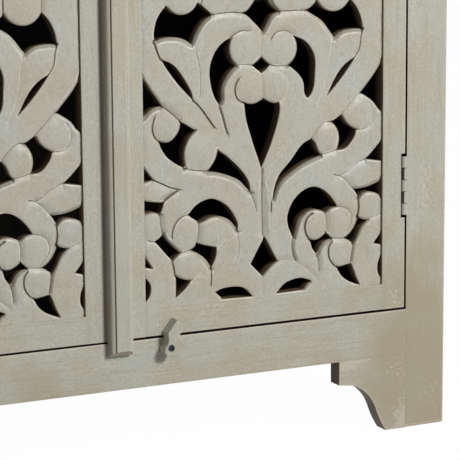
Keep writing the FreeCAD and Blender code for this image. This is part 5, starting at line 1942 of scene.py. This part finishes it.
@dataclass
class Carcass:
    """Sides, top, back boards with their nails, and the dark inside."""

    side_arris: tuple[float, float] = (0.5, 1.4)
    top_round: float = 9.0
    top_support: float = 12.0
    top_steps: int = 5
    under_wear: float = 0.6
    back_arris: tuple[float, float] = (0.4, 1.0)
    nail_proud: float = 0.7
    nail_radius: float = 3.0
    nail_length: float = 3.0
    nail_steps: int = 14

    SHELVES = ("shelf_lower", "shelf_middle", "shelf_upper")

    def build(self) -> None:
        """Make the painted outside and dress the inside near-black, a stain that is also painted shade."""
        inner, outer = self.side_arris
        for hand in Hand:
            node = f"side_panel_{hand.word}"
            back = (outer, inner) if hand is Hand.RIGHT else (inner, outer)
            board = Board(*box_mm(node), Axis.Z, (TINY, TINY, *back))
            painted(board.shell(), node, Axis.Z, dark=[(-hand.value, 0, 0)])
            dress(DARK_STAIN_AND_SHADE[Axis.Y], f"shelf_battens_{hand.word}")
        self.build_top()
        self.build_back()
        stops = ("door_stop_bottom", "door_stop_top")
        dress(DARK_STAIN_AND_SHADE[Axis.X], "bottom_board", *self.SHELVES, "rear_rail_top", *stops)

    def build_top(self) -> None:
        """Make the top board, rounded over at the front and the sides."""
        low, high = box_mm("top_board")
        run = [(low.x, low.y), (high.x, low.y), (high.x, high.y), (low.x, high.y)]
        shares = [1.0, 1.0, 0.0, 1.0]
        thick, r = high.z - low.z, self.top_round
        levels = [(r + self.top_support, 0.0, 0.0)]
        turns = quarter(self.top_steps)
        levels += [(r * (1 - math.sin(t)), r * (1 - math.cos(t)), math.sin(2 * t)) for t in turns]
        levels += [(inward, thick - down, worn * self.under_wear) for inward, down, worn in reversed(levels)]
        made, rings = Shell(), []
        for inward, down, worn in levels:
            loop = inset(run, inward, shares)
            rings.append(made.add_points([(x, y, high.z - down) for x, y in loop], wear=worn))
        painted(made.skin(rings), "top_board", Axis.X)

    def build_back(self) -> None:
        """Make the back boards and the nails that hold them."""
        places = ("left", "middle", "right")
        boards = [box_mm(f"back_board_{place}") for place in places]
        front, back = self.back_arris
        for place, (low, high), after in zip(places, boards, (*boards[1:], boards[-1])):
            edge = Vector((max(high.x, after[0].x), high.y - self.nail_proud, high.z))
            board = Board(low, edge, Axis.Z, (front, front, back, back))
            made = board.shell().mesh_object(f"stained_back_board_{place}", DARK_STAIN_AND_SHADE[Axis.Z])
            fit(made, "carcass", "dark_stained_wood", f"back_board_{place}")
        low, high = box_mm("back_board_nails")
        r = self.nail_radius
        profile = [(0.2, 0), (0.6 * r, -0.1), (0.9 * r, -0.35), (r, -self.nail_proud), (r, -self.nail_length)]
        head = lathe(profile, self.nail_steps).moved(Matrix.Rotation(-math.pi / 2, 4, "X"))
        margin = low.x + r - boards[0][0].x
        width = boards[1][0].x - boards[0][0].x
        made = Shell()
        for name in ("bottom_board", *self.SHELVES, "rear_rail_top"):
            middle = sum(corner.z for corner in box_mm(name)) / 2
            row = in_rows(
                "nail_row",
                head.mesh_object("nail_head", NAIL_STEEL),
                NAIL_STEEL,
                (low.x + r, high.y, middle),
                rows=(3, (width, 0, 0)),
                line=(2, (width - 2 * margin, 0, 0)),
            )
            mesh = row.data
            made.join(Shell([v.co / MM for v in mesh.vertices], [tuple(f.vertices) for f in mesh.polygons]))
            bpy.data.objects.remove(row)
        fit(made.mesh_object("back_nail_heads", NAIL_STEEL), "carcass", "dark_steel", "back_board_nails")


class Leaf(Enum):
    """Which leaf of a hinge, by what it is screwed to."""

    DOOR = "door"
    FRAME = "frame"


@dataclass
class Hinges:
    """Three butt hinges a door, painted over, the frame's knuckles bare on the side that the door hides."""

    hand: Hand
    knuckles: int = 5
    length: float = 75.0
    trim: float = 0.9
    gap: float = 0.9
    radius: float = 3.5
    knuckle_arris: float = 0.35
    segments: int = 24
    hinges: int = 3
    leaf_half: float = 0.5
    leaf_arris: float = 0.2
    leaf_from: float = 3.2
    tongue: float = 4.0
    screw_head: float = 3.2
    screw_thick: float = 1.0
    screw_slot: float = 0.45
    screw_turn: float = 20.0
    screws: int = 3

    # Where a knuckle is bare: beyond this share of its radius toward the door, and this far off its axis
    BARE_FROM, OFF_AXIS = 0.35, 1.0
    # Painted shadow round the knuckles, as dark strips: beyond and within their side, before and behind the
    # door's face
    RECESS_OUT, RECESS_IN, RECESS_PROUD, RECESS_DEEP = 0.8, 0.6, 0.05, 2.0

    def places(self) -> tuple[Vector, float, tuple[Vector, Vector]]:
        """The hinge line's middle, its foot, and the box of the door's stile."""
        low, high = box_mm(f"hinge_pins_{self.hand.word}")
        return (low + high) / 2, low.z, box_mm(f"door_hinge_stile_{self.hand.word}")

    def knuckle(self, height: float) -> Shell:
        """Roll one knuckle with eased ends.

        Args:
            height: its height.

        Returns:
            Its shell, standing on the origin.
        """
        r, e = self.radius, self.knuckle_arris
        rings = ((0.1, 0), (r - e, 0), (r, e), (r, height - e), (r - e, height), (0.1, height))
        return lathe(rings, self.segments)

    def leaf(self, leaf: Leaf) -> Shell:
        """Make one leaf of the lowest hinge: its plate, its tongues and its knuckles.

        Args:
            leaf: which leaf.

        Returns:
            Its shell.
        """
        low, high = box_mm(f"hinge_{leaf.value}_leaves_{self.hand.word}")
        axis, foot, door = self.places()
        side, half = self.hand.value, self.leaf_half
        if leaf is Leaf.FRAME:
            x, base, first = outer_x((low, high), self.hand) - side * half, foot, 1
        else:
            x, base, first = outer_x(door, self.hand) + side * half, low.z, 0
        plate_low = Vector((x - half, axis.y + self.leaf_from, base))
        plate_high = Vector((x + half, high.y, base + self.length))
        arris = self.leaf_arris
        made = Board(plate_low, plate_high, Axis.Z, (arris,) * 4, (arris, arris), 0.0).shell()
        step = (self.length - 2 * self.trim + self.gap) / self.knuckles
        height = step - self.gap
        for k in range(first, self.knuckles, 2):
            foot = base + self.trim + k * step
            made.join(block((x - half, axis.y, foot), (x + half, axis.y + self.tongue, foot + height)))
            barrel = self.knuckle(height).mark("bare", 0.0)
            if leaf is Leaf.FRAME:
                hidden = -self.BARE_FROM * self.radius
                bare = [p.x * side < hidden and p.xy.length > self.OFF_AXIS for p in barrel.points]
                barrel.marks["bare"] = [float(value) for value in bare]
            made.join(barrel.moved(Matrix.Translation((axis.x, axis.y, foot))))
        return made

    def mortise(self) -> Shell:
        """Lay dark strips on the door's face round the lowest hinge's knuckles, as painted shadow of the gap
        round them.

        Returns:
            The shell of the strips.
        """
        axis, foot, door = self.places()
        outer, side = outer_x(door, self.hand), self.hand.value
        far = axis.x - side * (self.radius + self.RECESS_OUT)
        near = axis.x - side * (self.radius - self.RECESS_IN)
        head, wide = foot + self.length, self.trim
        front, deep = door[0].y - self.RECESS_PROUD, door[0].y + self.RECESS_DEEP
        made = Shell()
        for x, z_low, z_high in ((near, foot, head), (outer, foot, foot + wide), (outer, head - wide, head)):
            made.join(block((min(far, x), front, z_low), (max(far, x), deep, z_high)))
        return made.mark("bare", 1.0)

    def build(self) -> None:
        """Make the leaves and the screws for both sides of the joint."""
        word = self.hand.word
        low, high = box_mm(f"hinge_pins_{word}")
        rows = (self.hinges, (0, 0, (high.z - low.z - self.length) / (self.hinges - 1)))
        for leaf, body in ((Leaf.DOOR, f"{word}_door"), (Leaf.FRAME, "carcass")):
            node = f"hinge_{leaf.value}_leaves_{word}"
            shell = self.leaf(leaf)
            # The door's leaves carry the strips of painted shadow round the knuckles
            if leaf is Leaf.DOOR:
                shell.join(self.mortise())
            piece = shell.mesh_object("hinge_leaf", HINGE_PAINT)
            fit(in_rows(f"painted_{node}", piece, HINGE_PAINT, rows=rows), body, "hinge_steel", node)
            self.build_screws(leaf, body, rows)
        dress(BLACK_STEEL, f"hinge_pins_{word}")

    def build_screws(self, leaf: Leaf, body: str, rows: tuple[int, Point3]) -> None:
        """Make the slotted screw heads of one leaf of each hinge.

        Args:
            leaf: which leaf.
            body: the body that the leaf moves with.
            rows: how many hinges there are, and the step from one to the next.
        """
        node = f"hinge_{leaf.value}_screws_{self.hand.word}"
        low, high = box_mm(node)
        inward = -self.hand.value if leaf is Leaf.FRAME else self.hand.value
        face_x, r = low.x if inward < 0 else high.x, self.screw_head
        turned = Matrix.Rotation(inward * math.pi / 2, 4, "Z")
        place = Matrix.Translation((face_x, (low.y + high.y) / 2, 0))
        head = slotted_head(r, self.screw_thick, self.screw_slot, self.screw_turn).moved(place @ turned)
        height = high.z - low.z - (self.hinges - 1) * rows[1][2] - 2 * r
        line = (self.screws, (0, 0, height / (self.screws - 1)))
        piece = head.mesh_object("screw_head", HINGE_PAINT)
        made = in_rows(f"slotted_{node}", piece, HINGE_PAINT, (0, 0, low.z + r), rows, line)
        fit(made, body, "hinge_steel", node)


@dataclass
class Door:
    """A framed door with its carved panel, dark on the edges that shut, which is painted shade in the gaps."""

    hand: Hand
    carving: Carving
    motifs: int = 2
    outer_arris: float = 0.8
    inner_arris: float = 0.3
    end_arris: float = 0.6
    wobble: float = 0.15
    panel_setback: float = 1.0
    band_setback: float = 0.4

    # More room below each door than its solids have, and what counts as on a stile's inner edge
    FOOT_CLEAR = {Hand.LEFT: 0.1, Hand.RIGHT: 0.6}
    ON_EDGE = 0.1

    def build(self) -> None:
        """Make the frame's boards, then the carved panel between them."""
        word, body = self.hand.word, f"{self.hand.word}_door"
        outer, plain, clear = self.outer_arris, self.inner_arris, self.FOOT_CLEAR[self.hand]
        stiles = {part: box_mm(f"door_{part}_stile_{word}") for part in ("hinge", "meeting")}
        for part, (low, high) in stiles.items():
            low.z += clear
            to_right = (part == "hinge") == (self.hand is Hand.RIGHT)
            front = (plain, outer) if to_right else (outer, plain)
            ends = (self.end_arris, self.end_arris)
            shell = Board(low, high, Axis.Z, (*front, plain, plain), ends, self.wobble).shell()
            # Painted shade: a stile's inner edge darkens toward the back, as the sawn walls of the openings do
            inner, thick = low.x if to_right else high.x, high.y - low.y
            on_edge = [abs(p.x - inner) < self.ON_EDGE for p in shell.points]
            shell.marks["depth"] = [(p.y - low.y) / thick * on for p, on in zip(shell.points, on_edge)]
            dark = [(1 if to_right else -1, 0, 0), (0, 0, -1), (0, 0, 1)]
            finish = SHADOW_LINED_WASH if part == "meeting" and self.hand is Hand.LEFT else None
            painted(shell, f"door_{part}_stile_{word}", Axis.Z, body, dark, finish)
        left = min(high.x for _, high in stiles.values())
        right = max(low.x for low, _ in stiles.values())
        inner_rows = []
        for end, arris in (("bottom", (outer, plain, plain, TINY)), ("top", (TINY, plain, plain, outer))):
            node, lower = f"door_rail_{end}_{word}", end == "bottom"
            low, high = box_mm(node)
            low.x, high.x = left, right
            low.z += clear * lower
            inner_rows.append(high.z if lower else low.z)
            rail = Board(low, high, Axis.X, arris, SHARP_ENDS, self.wobble)
            painted(rail.shell(), node, Axis.X, body, [(0, 0, -1 if lower else 1)])
        self.build_panel(left, right, *inner_rows)

    def build_panel(self, left: float, right: float, foot: float, head: float) -> None:
        """Make the carved panel in its opening.

        Args:
            left: where the opening begins.
            right: where it ends.
            foot: its lower edge.
            head: its upper edge.
        """
        word, carving = self.hand.word, self.carving
        front = box_mm(f"door_meeting_stile_{word}")[0].y + self.panel_setback
        height = 2 * carving.half_height
        step = head - foot - height
        band_low = Vector((left, front + self.band_setback, foot + height))
        band_high = Vector((right, front + carving.thickness, foot + step))
        outer, plain = self.outer_arris, self.inner_arris
        band = Board(band_low, band_high, Axis.X, (outer, plain, plain, outer), SHARP_ENDS).shell()
        for line in ("ridge", "lip", "groove"):
            band.mark(line, FAR)
        # Its back half takes depth one, the darkest colour of the sawn walls, as the carving's back does
        band.marks["depth"] = [float(p.y > front + carving.thickness / 2) for p in band.points]
        first = Vector(((left + right) / 2, front, foot + carving.half_height)) * MM
        inputs = {
            "Half": carving.half_motif().mesh_object("carved_half_motif", CARVED),
            "Band": band.mesh_object("carved_band", CARVED),
            "First": first[:],
            "Motifs": self.motifs,
            "Step": (0.0, 0.0, step * MM),
            "Finish": CARVED.material(),
        }
        panel = grown(f"carved_door_panel_{word}", MOTIFS, inputs)
        fit(panel, f"{word}_door", "carved_painted_wood", f"carved_panel_{word}")


@dataclass
class Astragal:
    """The moulded strip over the meeting line, its ends sloped off, and the turned knob."""

    depth: float = 13.0
    shoulder: float = 5.2
    shoulder_steps: int = 6
    bead: float = 18.0
    bead_depth: float = 2.5
    arris: float = 0.5
    end_trim: float = 2.2
    end_slope: float = 7.2
    end_back: float = 10.5
    end_support: float = 1.5
    clearance: float = 1.0
    glue_from: float = 1.3
    glue_lap: float = 0.2
    hang: float = 19.0
    step: float = 24.0
    knob_steps: int = 40

    # How near the sloped end's plane a point counts as cut, and how worn it is there
    ON_PLANE, CUT_WEAR = 0.05, 0.95
    # The knob: neck and face as shares of its radius, waist and belly as shares of its length
    NECK, FACE, WAIST, BELLY = 0.5, 0.45, 0.3, 0.62
    # Its hollow, between neck and belly, and its round, as a share of the radius and of the way to the belly
    HOLLOW, ROUND = (0.75, 0.35), (0.86, 0.36)
    # Half the width of its worn belly, the wear on and off it, and the steps of both curves
    BELLY_HALF, BELLY_WEAR, PLAIN_WEAR, CURVE_STEPS = 3, 0.75, 0.1, (8, 10)

    def section(self, low: Vector, high: Vector) -> list[tuple[float, float, float, float]]:
        """The strip's section, from its left back edge round the front to its right back edge.

        Args:
            low: lowest corner of the strip.
            high: its highest corner.

        Returns:
            Across, depth, wear and shade of each point.
        """
        bead_y, e = low.y, self.arris
        face_y = bead_y + self.bead_depth
        back = face_y + self.depth
        clear, gap = back - self.clearance, self.glue_from - e
        rim = (high.x - low.x - self.bead) / 2
        left, right = low.x + rim, high.x - rim
        r, turns = self.shoulder, quarter(self.shoulder_steps)
        ovolo = [(r * (1 - math.cos(t)), face_y + r * (1 - math.sin(t)), t) for t in turns]
        return [
            # The left side, worn at its back, then in painted shade, as is the left shoulder: the side away
            # from the key lamp
            (low.x, clear, 1.1, 0.0),
            (low.x, clear - 1.8, 1.0, 0.0),
            (low.x, clear - 2.4, 0.1, 0.75),
            (low.x, back - 5.0, 0.0, 0.7),
            *((low.x + x, y, 0.0, 0.55 - 0.5 * t / turns[-1]) for x, y, t in ovolo),
            # The bead, in painted shade on its left and worn on its right
            (left, face_y, 0.0, 1.0),
            (left, bead_y + e, 0.0, 0.8),
            (left + e, bead_y, 0.2, 0.0),
            (left + 3.0, bead_y, 0.0, 0.0),
            (right - 2.5, bead_y, 0.0, 0.0),
            (right - e, bead_y, 0.85, 0.0),
            (right, bead_y + e, 0.85, 0.0),
            (right, face_y, 0.0, 0.3),
            # The right shoulder, and the back, which stands off beyond the glue and is in painted shade
            *((high.x - x, y, 0.8 * math.sin(2 * t), 0.0) for x, y, t in reversed(ovolo)),
            (high.x, back, 0.0, 0.0),
            (gap, back, 0.0, 1.0),
            (gap - e, clear, 0.0, 1.0),
        ]

    def build(self) -> None:
        """Make the strip and the knob."""
        low, high = box_mm("astragal")
        run = self.section(low, high)
        foot, head, rise = low.z + self.end_trim, high.z - self.end_trim, self.end_slope
        first, last = foot + rise + self.end_support, head - rise - self.end_support
        count = round((high.z - low.z) / self.step)
        # Stations up the sloped end, as shares of it: the bead ends at the flat one
        flat = 1 - self.bead_depth / self.end_back
        ends = [(share, 1.0) for share in (0.0, 0.25, 0.5, flat - 0.03, flat, flat + 0.03, 0.97)] + [(1.0, 0.9)]
        stations = [(foot + share * rise, share, worn) for share, worn in ends]
        stations += [(first + (last - first) * i / count, 1.0, 0.0) for i in range(count + 1)]
        stations += [(head - share * rise, share, worn) for share, worn in reversed(ends)]
        made, rings = Shell(), []
        for z, share, worn in stations:
            plane = low.y + self.end_back * (1 - share)
            spots = [(x, max(y, plane), z) for x, y, _, _ in run]
            cut = [worn if y <= plane + self.ON_PLANE else 0.0 for _, y, _, _ in run]
            wear = [max(w, self.CUT_WEAR * c) for (_, _, w, _), c in zip(run, cut)]
            shade = [s * (1 - c) for (_, _, _, s), c in zip(run, cut)]
            rings.append(made.add_points(spots, wear=wear, shade=shade))
        made.skin(rings)
        glue_y = max(y for _, y, _, _ in run) - self.glue_lap
        glue_low = (self.glue_from, glue_y, low.z + self.hang)
        made.join(block(glue_low, (high.x, high.y, high.z - self.hang)))
        painted(made, "astragal", Axis.Z, "right_door")
        self.build_knob(low.y)

    def build_knob(self, face_y: float) -> None:
        """Make the knob, turned about the line out of the door.

        Args:
            face_y: where the strip's face is.
        """
        low, high = box_mm("door_knob")
        length, ball = face_y - low.y, (high.x - low.x) / 2
        neck, face, waist, belly = self.NECK * ball, self.FACE * ball, self.WAIST * length, self.BELLY * length
        (out, up), (wide, down) = self.HOLLOW, self.ROUND
        hollow = (neck + (ball - neck) * out, waist + (belly - waist) * up)
        swell = (ball * wide, length - (length - belly) * down)
        run = arc_through((neck, waist), hollow, (ball, belly), self.CURVE_STEPS[0])
        run += arc_through((ball, belly), swell, (face, length), self.CURVE_STEPS[1])
        worn = [self.BELLY_WEAR if abs(h - belly) < self.BELLY_HALF else self.PLAIN_WEAR for _, h in run]
        profile = [
            (neck, -1.0),
            (neck, 0.0, 0.2),
            (neck, waist * 0.6),
            *((r, h, w) for (r, h), w in zip(run, worn)),
            (face, length, 0.4),
            (0.5 * face, length, 0.5),
            (0.1, length, 0.5),
        ]
        place = Matrix.Translation(((low.x + high.x) / 2, face_y, (low.z + high.z) / 2))
        knob = lathe(profile, self.knob_steps).moved(place @ Matrix.Rotation(math.pi / 2, 4, "X"))
        fit(knob.mesh_object("turned_door_knob", PAINT[Axis.Z]), "right_door", "painted_wood", "door_knob")


@dataclass
class TurnButton:
    """The wooden turn button on the bottom rail, with its sunk screw."""

    boss: float = 7.5
    boss_at: Point2 = (-1.0, -2.8)
    arris: float = 0.6
    support: float = 1.0
    worn: float = 0.3
    sink: float = 4.3
    screw_thick: float = 1.6
    screw_slot: float = 0.85
    slot_turn: float = 40.0
    steps: int = 24
    shank_steps: int = 16

    # The arm from the boss's right to its left, from the pivot, and the boss's right, below and left points as
    # shares of its radius
    ARM = ((5.7, 6.8), (18.4, 26.3), (8.1, 33.4), (-4.1, 18.4), (-2.9, 10.5))
    BOSS = ((0.9962, 0.0872), (-0.173, -0.985), (-0.469, 0.883))

    def outline(self) -> Run:
        """Draw the button.

        Returns:
            Its points from the front, counter-clockwise, with the pivot at the origin.
        """
        x, z = self.boss_at
        right, below, left = ((x + a * self.boss, z + b * self.boss) for a, b in self.BOSS)
        return [right, *self.ARM, *arc_through(left, below, right, self.steps)]

    def build(self) -> None:
        """Make the button and its slotted screw, and dress its washer."""
        low, high = box_mm("turn_button")
        screw = box_mm("turn_button_screw")
        pivot = (screw[0] + screw[1]) / 2
        holes = [circle(self.sink, self.steps)]
        eased = {"support": self.support, "worn": self.worn}
        plate = Plate(self.outline(), high.y - low.y, self.arris, holes=holes, **eased)
        painted(front_plate(plate, (pivot.x, low.y, pivot.z)), "turn_button", Axis.Z, "turn_button")
        radius, length = (screw[1].x - screw[0].x) / 2, screw[1].y - screw[0].y
        half = 0.5 * radius
        head = slotted_head(radius, self.screw_thick, self.screw_slot, self.slot_turn)
        shank = lathe([(0.1, 0.5), (half, 0.5), (half, length), (0.1, length)], self.shank_steps)
        head.join(shank.moved(Matrix.Rotation(-math.pi / 2, 4, "X")))
        made = head.moved(Matrix.Translation((pivot.x, screw[0].y, pivot.z)))
        steel = made.mesh_object("slotted_turn_button_screw", SCREW_STEEL)
        fit(steel, "carcass", "dark_steel", "turn_button_screw")
        dress(HINGE_PAINT, "turn_button_washer")


# Studio


@dataclass
class Studio:
    """White paper floor, one soft key lamp from the upper right, an even fill and the photograph's camera.

    The camera's place is in millimetres and its angles in degrees; the lamp and the floor are in metres.
    """

    camera_at: Point3 = (-947.9, -2467.5, 739.3)
    yaw: float = 25.826
    pitch: float = 10.418
    roll: float = 0.425
    focal_px: float = 2139.0
    frame_px: float = 460.0
    sensor: float = 36.0
    sight: float = 100.0
    floor_half: float = 40.0
    key_from: Point3 = (6.4, -16.0, 9.9)
    key_aim: Point3 = (0.1, -0.2, 0.35)
    key_distance: float = 4.5
    key_size: float = 0.95
    key_share: float = 0.65
    fill_share: float = 0.15

    def build(self) -> None:
        """Set up the paper, the light and the camera."""
        bpy.context.scene.view_settings.view_transform = "Standard"
        self.build_floor()
        self.build_world()
        self.build_key()
        self.build_camera()

    def build_floor(self) -> None:
        """Lay the paper floor."""
        half = self.floor_half
        corners = [(-half, -half, 0), (half, -half, 0), (half, half, 0), (-half, half, 0)]
        mesh = bpy.data.meshes.new("paper_floor")
        mesh.from_pydata(corners, [], [(0, 1, 2, 3)])
        mesh.materials.append(PAPER.material())
        floor = linked("paper_floor", mesh)

    def build_world(self) -> None:
        """Fill light from all round, seen as white."""
        world = bpy.data.worlds.new("white_studio")
        world.use_nodes = True
        bpy.context.scene.world = world
        tree = world.node_tree
        level = {0: seen_directly(tree), 3: self.fill_share, 4: 1.0}
        back = tree.nodes["Background"]
        back.inputs["Color"].default_value = (1, 1, 1, 1)
        tree.links.new(add(tree, "ShaderNodeMapRange", level).outputs[0], back.inputs["Strength"])

    def build_key(self) -> None:
        """Hang the soft key lamp, as strong as its share of white on a face to the front."""
        lamp = bpy.data.lights.new("key_softbox", "AREA")
        lamp.shape = "SQUARE"
        lamp.size = self.key_size
        away = Vector(self.key_from).normalized()
        lamp.energy = self.key_share * math.pi**2 * self.key_distance**2 / -away.y
        key = linked("key_softbox", lamp)
        key.location = Vector(self.key_aim) + away * self.key_distance
        key.rotation_euler = away.to_track_quat("Z", "Y").to_euler()
        key.visible_camera = False

    def build_camera(self) -> None:
        """Place the camera where the photograph was taken from."""
        data = bpy.data.cameras.new("photo_camera")
        data.sensor_width = self.sensor
        data.lens = self.focal_px / self.frame_px * self.sensor
        data.clip_end = self.sight
        yaw, pitch, roll = (math.radians(value) for value in (self.yaw, self.pitch, self.roll))
        ahead = Vector((math.sin(yaw) * math.cos(pitch), math.cos(yaw) * math.cos(pitch), -math.sin(pitch)))
        right = Vector((math.cos(yaw), -math.sin(yaw), 0))
        down = ahead.cross(right)
        across = math.cos(roll) * right + math.sin(roll) * down
        below = -math.sin(roll) * right + math.cos(roll) * down
        camera = linked("photo_camera", data)
        turn = Matrix((across, -below, -ahead)).transposed().to_4x4()
        camera.matrix_world = Matrix.Translation(Vector(self.camera_at) * MM) @ turn
        bpy.context.scene.camera = camera


def main() -> None:
    """Build the cabinet's sub-assemblies and the studio, in order."""
    logging.basicConfig(level=logging.INFO, format="%(name)s: %(message)s")
    carving = Carving()
    assemblies = [FaceFrame(), Feet(), Carcass()]
    for hand in Hand:
        assemblies += [Door(hand, carving), Hinges(hand)]
    assemblies += [Astragal(), TurnButton(), Studio()]
    for assembly in assemblies:
        assembly.build()
        LOG.info("%s done", type(assembly).__name__)


if __name__ == "__main__":
    main()
